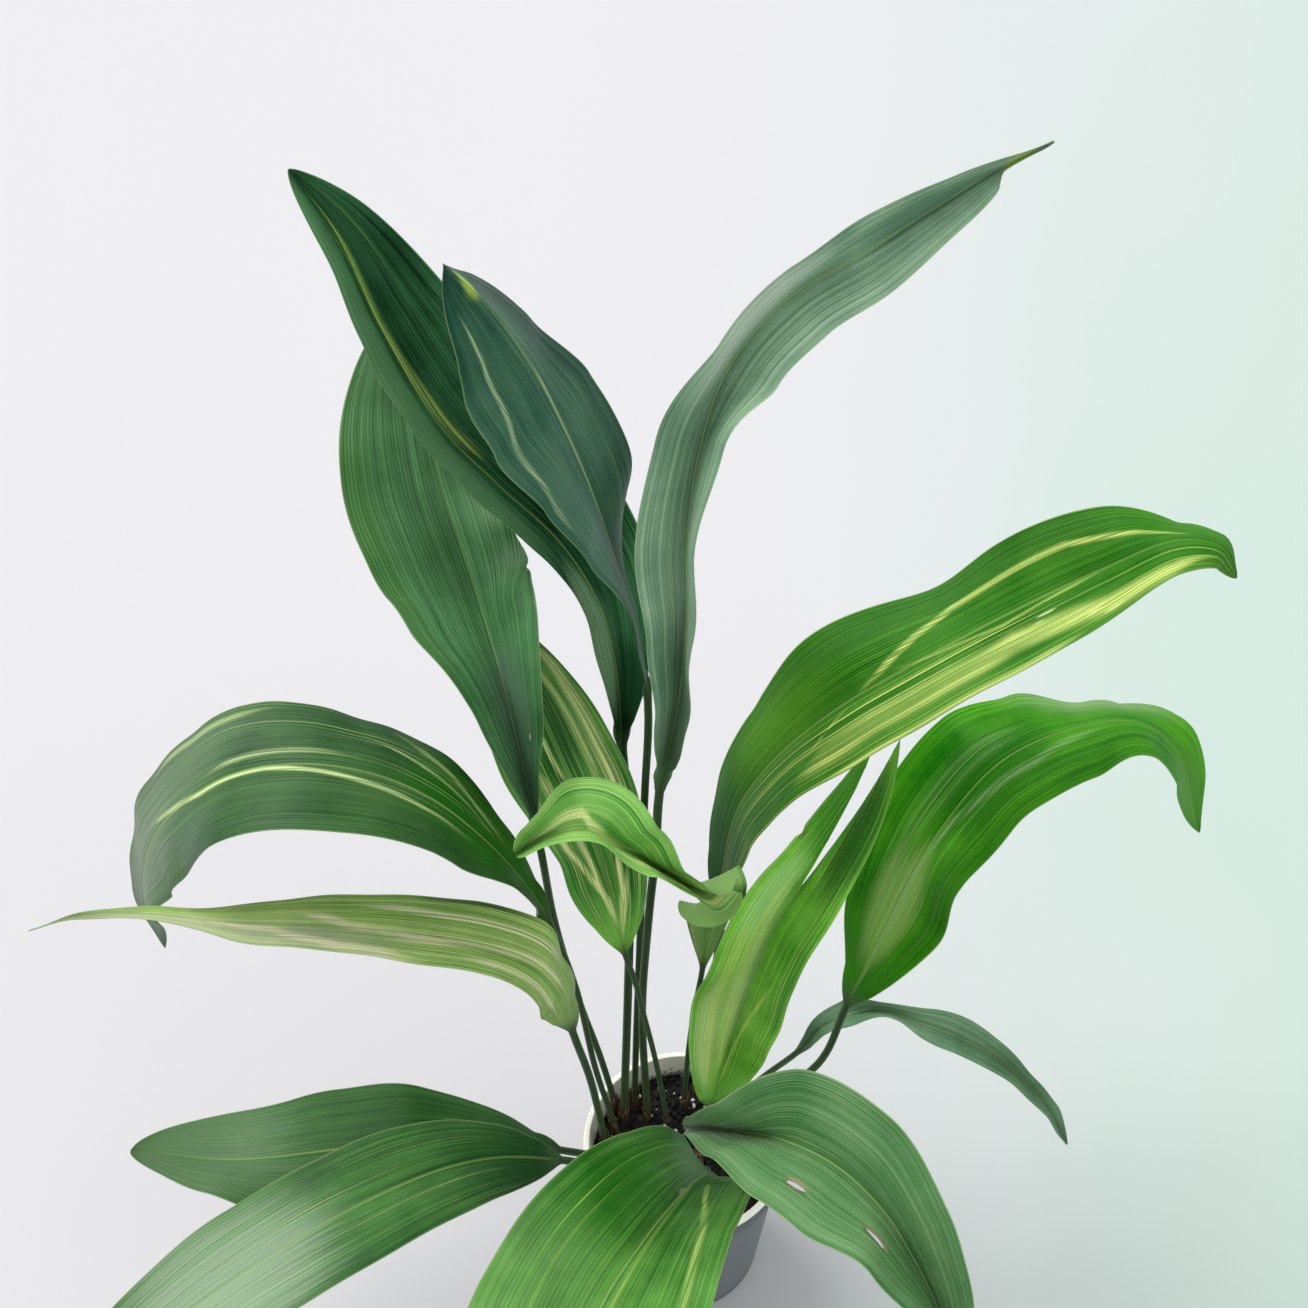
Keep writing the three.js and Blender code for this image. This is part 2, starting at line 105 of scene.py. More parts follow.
def rough_ground(x: Array, y: Array, finest: float, coarsest: float, count: int, seed: int) -> Array:
    """Return rough ground: a sum of seeded plane waves whose height grows with their length.

    Args:
        x: Places across, in millimetres.
        y: Places along, in millimetres.
        finest: Shortest wavelength.
        coarsest: Longest wavelength.
        count: How many waves are added.
        seed: Seed of the random draw.

    Returns:
        Heights of about -1 to 1.
    """
    draw = np.random.default_rng(seed)
    lengths = finest * (coarsest / finest) ** draw.random(count)
    turns, phases = draw.random(count) * TURN, draw.random(count) * TURN
    total = np.zeros(np.broadcast(x, y).shape)
    for length, turn, phase in zip(lengths, turns, phases):
        total += length * np.sin(TURN * (x * math.cos(turn) + y * math.sin(turn)) / length + phase)
    return total / (lengths.sum() * 0.25)


# ---------------------------------------------------------------- meshes


@dataclass
class Skin:
    """Points, faces and painted values of a mesh before it becomes an object, in millimetres."""

    points: Array
    faces: Array
    marks: dict[str, Array] = field(default_factory=dict)

    @classmethod
    def joined(cls, skins: Sequence["Skin"]) -> "Skin":
        """Return several skins as one."""
        starts = np.cumsum([0] + [len(skin.points) for skin in skins[:-1]])
        return cls(np.concatenate([skin.points for skin in skins]),
                   np.concatenate([skin.faces + start for skin, start in zip(skins, starts)]),
                   {mark: np.concatenate([skin.marks[mark] for skin in skins]) for mark in skins[0].marks})

    def trimmed(self) -> "Skin":
        """Leave out the points that no face uses.

        Returns:
            The skin without them.
        """
        used, faces = np.unique(self.faces, return_inverse=True)
        marks = {mark: values[used] for mark, values in self.marks.items()}
        return Skin(self.points[used], faces.reshape(self.faces.shape), marks)

    def to_object(self, name: str, material: bpy.types.Material, smooth_shading: bool = True) -> bpy.types.Object:
        """Put the skin into a Blender object at the origin.

        Args:
            name: The object's name.
            material: Its finish.
            smooth_shading: Whether faces are shaded as one curved surface.

        Returns:
            The linked object, in metres.
        """
        mesh = bpy.data.meshes.new(name)
        count, sides = self.faces.shape
        mesh.vertices.add(len(self.points))
        mesh.vertices.foreach_set("co", (self.points * MM).astype(np.float32).ravel())
        mesh.loops.add(count * sides)
        mesh.loops.foreach_set("vertex_index", self.faces.astype(np.int32).ravel())
        mesh.polygons.add(count)
        mesh.polygons.foreach_set("loop_start", np.arange(count, dtype=np.int32) * sides)
        mesh.polygons.foreach_set("use_smooth", np.full(count, smooth_shading))
        mesh.update(calc_edges=True)
        for mark, values in self.marks.items():
            attribute = mesh.attributes.new(mark, "FLOAT_VECTOR", "POINT")
            attribute.data.foreach_set("vector", values.astype(np.float32).ravel())
        mesh.validate()
        mesh.materials.append(material)
        piece = bpy.data.objects.new(name, mesh)
        bpy.context.scene.collection.objects.link(piece)
        return piece


def strip_faces(rings: Array) -> Array:
    """Return the quads between neighbouring closed rings of point numbers, as rows of quads."""
    after = np.roll(rings, -1, axis=1)
    return np.stack([rings[:-1], after[:-1], after[1:], rings[1:]], axis=-1)


def cap_faces(ring: Array) -> Array:
    """Close a ring made of an upper run and its mirrored lower run with quads between the runs."""
    j = np.arange(len(ring) // 2 - 1)
    return ring[np.stack([j, j + 1, len(ring) - 2 - j, len(ring) - 1 - j], axis=-1)]


def tube_faces(rings: Array) -> Array:
    """Return the quads of a tube through closed rings of point numbers, with both its ends capped."""
    return np.concatenate([strip_faces(rings).reshape(-1, 4), cap_faces(rings[0])[:, ::-1], cap_faces(rings[-1])])


def apply_modifiers(piece: bpy.types.Object) -> None:
    """Put what a piece's modifiers make into its mesh, and take them off.

    Args:
        piece: The object.
    """
    evaluated = piece.evaluated_get(bpy.context.evaluated_depsgraph_get())
    mesh = bpy.data.meshes.new_from_object(evaluated)
    piece.modifiers.clear()
    piece.data = mesh


# ---------------------------------------------------------------- shader kit


@dataclass(frozen=True)
class Colour:
    """A colour as it is seen, red, green and blue from 0 to 255."""

    red: float
    green: float
    blue: float

    def linear(self) -> tuple[float, float, float, float]:
        """Work out the colour as light.

        Returns:
            Red, green and blue from 0 to 1, with full alpha.
        """
        parts = [channel / 255.0 for channel in (self.red, self.green, self.blue)]
        light = [p / 12.92 if p <= 0.04045 else ((p + 0.055) / 1.055) ** 2.4 for p in parts]
        return (light[0], light[1], light[2], 1.0)


Number = Union["Value", float]


def operator(operation: str, turned: bool = False) -> Callable[["Value", Number], "Value"]:
    """Make a method that adds a Math node.

    Args:
        operation: The node's operation.
        turned: Whether the other term comes first, as in a reflected operator.

    Returns:
        A method of a value that takes one other term.
    """
    def method(self: "Value", other: Number) -> "Value":
        """Work on this value and another term."""
        return self.kit.math(operation, *((other, self) if turned else (self, other)))
    return method


class Value:
    """A number socket of a shader that is written with as a number."""

    __add__ = __radd__ = operator("ADD")
    __sub__, __rsub__ = operator("SUBTRACT"), operator("SUBTRACT", turned=True)
    __mul__ = __rmul__ = operator("MULTIPLY")
    __truediv__, __rtruediv__ = operator("DIVIDE"), operator("DIVIDE", turned=True)
    __pow__ = operator("POWER")
    at_least, at_most = operator("MAXIMUM"), operator("MINIMUM")

    def __init__(self, kit: "NodeKit", socket: bpy.types.NodeSocket) -> None:
        self.kit, self.socket = kit, socket

    def __abs__(self) -> "Value":
        """Return the size without its sign."""
        return self.kit.math("ABSOLUTE", self)

    def sine(self) -> "Value":
        """Return the sine of an angle in radians."""
        return self.kit.math("SINE", self)

    def line(self, low: float, high: float, kind: str = "LINEAR") -> "Value":
        """Return 0 at low and 1 at high, straight between unless the kind says otherwise, and held past them."""
        node = self.kit.node("ShaderNodeMapRange", {"interpolation_type": kind},
                             {"Value": self, "From Min": low, "From Max": high})
        return Value(self.kit, node.outputs["Result"])

    def ramp(self, low: float, high: float) -> "Value":
        """Return 0 at low, 1 at high, held past them and eased between; low may be the larger."""
        return 1.0 - self.ramp(high, low) if low > high else self.line(low, high, "SMOOTHSTEP")


class Tint:
    """A colour socket of a shader."""

    def __init__(self, socket: bpy.types.NodeSocket) -> None:
        """Wrap a colour socket."""
        self.socket = socket


Paint = Union[Tint, Colour]


class NodeKit:
    """Builds one material's nodes."""

    def __init__(self, name: str) -> None:
        """Start an empty material with its shader and output.

        Args:
            name: The material's name.
        """
        self.material = bpy.data.materials.new(name)
        self.material.use_nodes = True
        self.tree = self.material.node_tree
        self.tree.nodes.clear()
        self.shader = self.node("ShaderNodeBsdfPrincipled", {}, {})
        self.node("ShaderNodeOutputMaterial", {}, {"Surface": self.shader.outputs["BSDF"]})

    def give(self, sockets: bpy.types.bpy_prop_collection, inputs: dict[object, object]) -> None:
        """Set or link sockets.

        Args:
            sockets: The sockets of a node.
            inputs: Socket name or index to a number, a colour, a wrapped socket or a plain socket.
        """
        for key, given in inputs.items():
            if isinstance(given, (Value, Tint)):
                given = given.socket
            if isinstance(given, bpy.types.NodeSocket):
                self.tree.links.new(given, sockets[key])
            else:
                sockets[key].default_value = given.linear() if isinstance(given, Colour) else given

    def node(self, kind: str, settings: dict[str, object], inputs: dict[object, object]) -> bpy.types.Node:
        """Add a node.

        Args:
            kind: The node's type.
            settings: Properties that are set before its sockets.
            inputs: Socket name or index to what it is given.

        Returns:
            The new node.
        """
        node = self.tree.nodes.new(kind)
        for name, setting in settings.items():
            setattr(node, name, setting)
        self.give(node.inputs, inputs)
        return node

    def math(self, operation: str, *terms: Number) -> Value:
        """Add a Math node and return its value."""
        return Value(self, self.node("ShaderNodeMath", {"operation": operation}, dict(enumerate(terms))).outputs[0])

    def mix(self, share: Number, base: Paint, over: Paint) -> Tint:
        """Lay one colour over another by a share of 0 to 1."""
        node = self.node("ShaderNodeMix", {"data_type": "RGBA", "clamp_factor": True}, {0: share, 6: base, 7: over})
        return Tint(node.outputs[2])

    def scaled(self, paint: Paint, by: Number) -> Tint:
        """Make a colour lighter or darker by a factor."""
        first = paint.linear()[:3] if isinstance(paint, Colour) else paint
        return Tint(self.node("ShaderNodeVectorMath", {"operation": "SCALE"}, {0: first, "Scale": by}).outputs[0])

    def painted(self, mark: str) -> tuple[Value, Value, Value]:
        """Return the three numbers of a painted vector of the mesh."""
        return self.parts(self.node("ShaderNodeAttribute", {"attribute_name": mark}, {}).outputs["Vector"])

    def parts(self, vector: bpy.types.NodeSocket) -> tuple[Value, Value, Value]:
        """Return the three numbers of a vector socket."""
        x, y, z = self.node("ShaderNodeSeparateXYZ", {}, {0: vector}).outputs
        return Value(self, x), Value(self, y), Value(self, z)

    def place(self) -> bpy.types.NodeSocket:
        """Return the place on the object, in metres."""
        return self.node("ShaderNodeTexCoord", {}, {}).outputs["Object"]

    def join(self, x: Number, y: Number, z: Number) -> bpy.types.NodeSocket:
        """Return a vector of three numbers."""
        return self.node("ShaderNodeCombineXYZ", {}, {0: x, 1: y, 2: z}).outputs[0]

    def noise(self, where: bpy.types.NodeSocket, scale: float, detail: float = 2.0, rough: float = 0.5) -> Value:
        """Return cloudy noise of about 0.3 to 0.7 at a place."""
        inputs = {"Vector": where, "Scale": scale, "Detail": detail, "Roughness": rough}
        return Value(self, self.node("ShaderNodeTexNoise", {}, inputs).outputs["Fac"])

    def cells(self, where: bpy.types.NodeSocket, scale: float) -> Value:
        """Return the distance to the nearest of many scattered points."""
        node = self.node("ShaderNodeTexVoronoi", {}, {"Vector": where, "Scale": scale})
        return Value(self, node.outputs["Distance"])

    def finish(self, paint: Paint, roughness: Number, gloss: float, height: Optional[Value] = None,
               lift: float = 0.0) -> bpy.types.Material:
        """Join the colour, roughness and relief to the shader.

        Args:
            paint: The base colour.
            roughness: The roughness.
            gloss: The specular level, the same all over.
            height: Relief of about 0 to 1.
            lift: How high the relief stands, in metres.

        Returns:
            The finished material.
        """
        values: dict[object, object] = {"Base Color": paint, "Roughness": roughness, "Specular IOR Level": gloss}
        if height is not None:
            bump = self.node("ShaderNodeBump", {}, {"Height": height, "Distance": lift, "Strength": 1.0})
            values["Normal"] = bump.outputs["Normal"]
        self.give(self.shader.inputs, values)
        return self.material


# ---------------------------------------------------------------- leaf finishes


@dataclass(frozen=True)
class VeinNoise:
    """Noise drawn out along the veins: how fine it is across and along, which part of the noise, and how rough."""

    across: float
    along: float
    shift: float = 0.0
    detail: float = 3.0
    rough: float = 0.6

    def value(self, kit: NodeKit, across: Value, along: Value, seed: float) -> Value:
        """Return the noise of about 0.3 to 0.7 at a place across and along."""
        return kit.noise(kit.join(across * self.across, along * self.along, self.shift + seed), 1.0, self.detail,
                         self.rough)


DRIFT = VeinNoise(1.2, 5.0, detail=1.0, rough=0.5)
BANDS = VeinNoise(7.0, 0.9, 3.0)
FINE = VeinNoise(30.0, 2.2, 7.0, 4.0, 0.7)
THREADS = VeinNoise(38.0, 1.3, 13.0)
STALK_GRAIN = VeinNoise(9.0, 0.12, rough=0.5)


class BladePattern:
    """Where a point is on its leaf, and the patterns there that follow the veins.

    The place u runs across from -1 at the left edge to 1 at the right, and t along the blade from 0 to 1. Across,
    along and edge are the distances in millimetres from the midrib, from the compost and from the edge. The bent
    place wanders a little, as real veins do.
    """

    veins: float = 27.0
    ribs: float = 9.0
    lines: float = 12.5
    wander: float = 0.03
    cloud_scale: float = 24.0

    def __init__(self, kit: NodeKit, seed: float) -> None:
        """Work out the patterns.

        Args:
            kit: The material that they are in.
            seed: Which part of each noise the leaf has.
        """
        self.u, self.t, self.under = kit.painted("leaf")
        self.across, self.along, self.edge = kit.painted("place")
        drift = DRIFT.value(kit, self.u, self.t, seed) - 0.5
        self.bent = self.u + drift * self.wander
        self.bands, self.fine, self.threads = (
            noise.value(kit, self.bent, self.t, seed) for noise in (BANDS, FINE, THREADS))
        self.cloud = kit.noise(kit.place(), self.cloud_scale, 3.0, 0.55)
        self.vein = self.wave(self.veins, self.bands * 6.0) * 0.5 + 0.5
        self.rib = self.wave(self.ribs, drift * 3.0) * 0.5 + 0.5
        self.line = self.wave(self.lines, drift * 5.0).ramp(0.84, 1.0) * (self.bands * 0.9 + 0.1)

    def wave(self, count: float, bend: Value) -> Value:
        """Return a sine wave of the bent place, with so many waves in half a blade, moved along by a bend."""
        return (self.bent * (TURN * count) + bend).sine()


@dataclass(frozen=True)
class Stripe:
    """A stripe along the veins: a path of shares along and places across, its half width and its strength. Most are
    pale variegation, and a few wide ones are painted sheen.
    """

    path: Keys
    width: float = 0.04
    strength: float = 1.0

    def mask(self, at: BladePattern) -> Value:
        """Return 1 on the stripe and 0 off it.

        The middle follows the path in straight runs, the width narrows towards both ends of the path, the edges
        are roughened by threads and bands, and the stripe is broken up into threads.

        Args:
            at: The pattern of the blade.

        Returns:
            The stripe's share of the paint.
        """
        middle: Number = self.path[0][1]
        for (low, before), (high, after) in zip(self.path, self.path[1:]):
            middle = at.t.line(low, high) * (after - before) + middle
        first, last = self.path[0][0], self.path[-1][0]
        taper = min(0.07, (last - first) / 3.0)
        window = at.t.ramp(first, first + taper) * at.t.ramp(last, last - taper)
        ragged = (at.threads - 0.5) * 2.6 + (at.bands - 0.5) * 0.5
        near = abs(at.bent - middle) / (self.width * (0.3 + window * 0.7)) + ragged
        return near.ramp(1.3, 0.3) * window * self.strength * (at.threads.ramp(0.43, 0.56) * 0.8 + 0.2)


@dataclass(frozen=True)
class Spot:
    """A patch of another colour, centred at a place across and along, with its reach in both. Some patches are real
    marks, and others are painted sheen and painted shade.
    """

    across: float
    along: float
    wide: float
    long: float
    colour: Colour
    strength: float = 1.0

    def mask(self, at: BladePattern) -> Value:
        """Return the patch's share of the paint: an ellipse that fades outwards and is broken up along the veins."""
        far = ((at.u - self.across) / self.wide) ** 2.0 + ((at.t - self.along) / self.long) ** 2.0
        return (far + (at.fine - 0.5) * 2.2 + (at.threads - 0.5) * 1.6).ramp(1.15, 0.05) * self.strength


@dataclass(frozen=True)
class LeafFinish:
    """Colours of one leaf: its greens, its marks, its painted sheen and painted shade, and its stalk.

    The blade goes from dark to light green along its bands, with its own colours towards the base and under it.
    Streaks are fine pale threads along the veins between two places across, the more the higher their number.
    Grain is how strongly the veins stand out, margin and midrib_strength how strongly the pale edge and midrib
    do, sheen the roughness and gloss the specular level.
    """

    dark: Colour
    light: Colour
    base: Colour
    under: Colour = Colour(80, 114, 70)
    stalk: Colour = Colour(84, 112, 74)
    stalk_foot: Colour = Colour(116, 78, 58)
    rim: Colour = Colour(176, 196, 140)
    midrib: Colour = Colour(140, 170, 96)
    midrib_strength: float = 0.45
    stripe: Colour = Colour(214, 222, 150)
    # Pale variegation, and on some leaves painted sheen streaks.
    stripes_and_painted_sheen: tuple[Stripe, ...] = ()
    streaks: float = 0.0
    streak_from: float = -1.0
    streak_to: float = 1.0
    # Patches: real marks, painted sheen and painted shade.
    spots_and_painted_light: tuple[Spot, ...] = ()
    margin: float = 0.35
    sheen: float = 0.42
    gloss: float = 0.18
    grain: float = 1.0

    def greens(self, kit: NodeKit, at: BladePattern) -> Tint:
        """Paint the blade's greens with its patches, which are real marks, painted sheen and painted shade, then
        lighten and darken them along the veins.

        Args:
            kit: The material.
            at: The pattern of the blade.

        Returns:
            The paint before any stripe.
        """
        blend = (at.bands - 0.5) * 1.3 + (at.fine - 0.5) * 1.5 + (at.cloud - 0.5) * 1.5 + 0.5
        paint = kit.mix(blend.at_least(0.0).at_most(1.0), self.dark, self.light)
        paint = kit.mix(at.t.ramp(0.24, 0.02) * 0.75, paint, self.base)
        # Lay on the patches, among them painted sheen and painted shade.
        for spot in self.spots_and_painted_light:
            paint = kit.mix(spot.mask(at), paint, spot.colour)
        detail = at.vein * 0.26 + (at.fine - 0.5) * 0.6 - 0.12
        return kit.scaled(paint, 0.91 + detail * self.grain + at.rib * 0.05 + at.line * 0.32)

    def striped(self, kit: NodeKit, at: BladePattern, paint: Tint) -> Tint:
        """Lay the pale bands, some of them painted sheen, and the streaks over the greens, fainter on the lower face.

        Args:
            kit: The material.
            at: The pattern of the blade.
            paint: The greens.

        Returns:
            The paint with its pale stripe colour laid on.
        """
        marks = [stripe.mask(at) for stripe in self.stripes_and_painted_sheen]
        if self.streaks > 0.0:
            span = at.bent.ramp(self.streak_from - 0.04, self.streak_from + 0.05)
            span = span * at.bent.ramp(self.streak_to + 0.04, self.streak_to - 0.05)
            finest = 0.66 - self.streaks * 0.2
            marks.append(at.threads.ramp(finest, finest + 0.12) * span * 0.8)
        if not marks:
            return paint
        tinge = kit.scaled(self.stripe, (at.fine - 0.5) * 0.7 + 0.95)
        return kit.mix(sum(marks[1:], marks[0]).at_most(1.0) * (1.0 - at.under * 0.55), paint, tinge)

    def trimmed(self, kit: NodeKit, at: BladePattern, paint: Tint) -> Tint:
        """Add the midrib, the pale edge, the lower face and the stalk.

        Args:
            kit: The material.
            at: The pattern of the blade.
            paint: The striped greens.

        Returns:
            The whole leaf's paint.
        """
        midrib = abs(at.across).ramp(1.1, 0.35) * at.t.ramp(1.0, 0.75) * self.midrib_strength
        paint = kit.mix(midrib, paint, self.midrib)
        paint = kit.mix(at.edge.ramp(0.75, 0.2) * at.t.ramp(0.01, 0.06) * self.margin, paint, self.rim)
        lower = kit.scaled(self.under, 0.86 + at.vein * 0.16 + (at.cloud - 0.5) * 0.4)
        return kit.mix(at.under.ramp(0.3, 0.7) * at.t.ramp(0.0, 0.05), paint, lower)

    def stem(self, kit: NodeKit, at: BladePattern, seed: float) -> Tint:
        """Return the stalk's paint: a grained green that turns brown towards the compost."""
        stem = kit.scaled(self.stalk, 0.78 + STALK_GRAIN.value(kit, at.u, at.along, seed) * 0.44)
        return kit.mix(at.along.ramp(34.0, 2.0) * 0.55, stem, self.stalk_foot)

    def material(self, name: str, seed: float) -> bpy.types.Material:
        """Build the blade and stalk finish on the leaf's own coordinates.

        Args:
            name: The material's name.
            seed: Which part of each noise the leaf has.

        Returns:
            The finished material.
        """
        kit = NodeKit(name)
        at = BladePattern(kit, seed)
        paint = self.trimmed(kit, at, self.striped(kit, at, self.greens(kit, at)))
        paint = kit.mix(at.t.ramp(0.055, 0.0), paint, self.stem(kit, at, seed))
        rough = self.sheen + (at.fine - 0.5) * 0.16 + (at.cloud - 0.5) * 0.22 + at.under * 0.12
        height = at.vein * 0.4 + at.rib * 0.3 + at.fine * 0.3
        return kit.finish(paint, rough, self.gloss, height, 0.0003)


# ---------------------------------------------------------------- leaf shapes


# The place that the leaves' upper faces are turned to, in millimetres, and the steps between two control points.
LIGHT_SIDE = np.array([-20.0, -470.0, 880.0])
SPINE_STEPS = 40


class Spine:
    """The smooth middle line of a leaf through its control points."""

    def __init__(self, points: Sequence[Point], blade_at: int) -> None:
        """Fit the line.

        Between two control points it is a cubic whose slopes follow the neighbours, with each step weighed by
        the square root of its length, and the ends are carried on by reflection.

        Args:
            points: Control points in millimetres, from the compost to the tip.
            blade_at: Which control point the blade starts at.
        """
        p = np.asarray(points, float)
        p = np.vstack([2 * p[0] - p[1], p, 2 * p[-1] - p[-2]])
        p0, p1, p2, p3 = p[:-3], p[1:-2], p[2:-1], p[3:]
        d0, d1, d2 = (np.linalg.norm(b - a, axis=1, keepdims=True) ** 0.5 for a, b in ((p0, p1), (p1, p2), (p2, p3)))
        slope1 = ((p1 - p0) / d0 - (p2 - p0) / (d0 + d1) + (p2 - p1) / d1) * d1
        slope2 = ((p2 - p1) / d1 - (p3 - p1) / (d1 + d2) + (p3 - p2) / d2) * d1
        self.terms = np.stack([p1, slope1, 3 * (p2 - p1) - 2 * slope1 - slope2, 2 * (p1 - p2) + slope1 + slope2])
        self.steps = np.linspace(0.0, len(p1), SPINE_STEPS * len(p1) + 1)
        gaps = np.linalg.norm(np.diff(self.at_step(self.steps)[0], axis=0), axis=1)
        self.lengths = np.concatenate([[0.0], np.cumsum(gaps)])
        self.total = self.lengths[-1]
        self.blade_from = self.lengths[SPINE_STEPS * blade_at]

    def at_step(self, step: Array) -> tuple[Array, Array]:
        """Read the line.

        Args:
            step: Places on it, counted in control points.

        Returns:
            Points and directions.
        """
        part = np.minimum(step.astype(int), self.terms.shape[1] - 1)
        s = (step - part)[:, None]
        a, b, c, d = (term[part] for term in self.terms)
        return a + s * (b + s * (c + s * d)), unit(b + s * (2 * c + 3 * s * d))

    def at(self, length: Array) -> tuple[Array, Array]:
        """Return points and directions at lengths along the line, carried on straight below its start."""
        points, along = self.at_step(np.interp(length, self.lengths, self.steps))
        return points + np.minimum(length, 0.0)[:, None] * along, along


@dataclass(frozen=True)
class LeafMake:
    """What all the leaves share, in millimetres: how finely they are built, and the relief across them.

    The fold opens from flat over the first fold_opens of the blade. Depths and widths are those of bell-shaped
    grooves and ridges: the channel of the stalk in shares of it, and the groove, its two shoulders and the keel
    of the midrib.
    """

    side_columns: int = 34
    blade_rows: int = 160
    stalk_rows: int = 30
    stalk_depth: float = 14.5
    thickness: float = 0.6
    edge_thickness: float = 0.16
    edge_slope: float = 0.05
    tip_half_width: float = 0.6
    fold_opens: float = 0.06
    crease: float = 1.3
    pleats: float = 6.0
    pleat_height: float = 0.11
    wave_lengths: tuple[float, float] = (70.0, 110.0)
    channel_depth: float = 0.28
    channel_width: float = 0.38
    groove_depth: float = 0.32
    groove_width: float = 0.8
    shoulder_height: float = 0.14
    shoulder_at: float = 1.8
    shoulder_width: float = 0.9
    keel_height: float = 1.15
    keel_fall: float = 0.75
    keel_width: float = 1.35


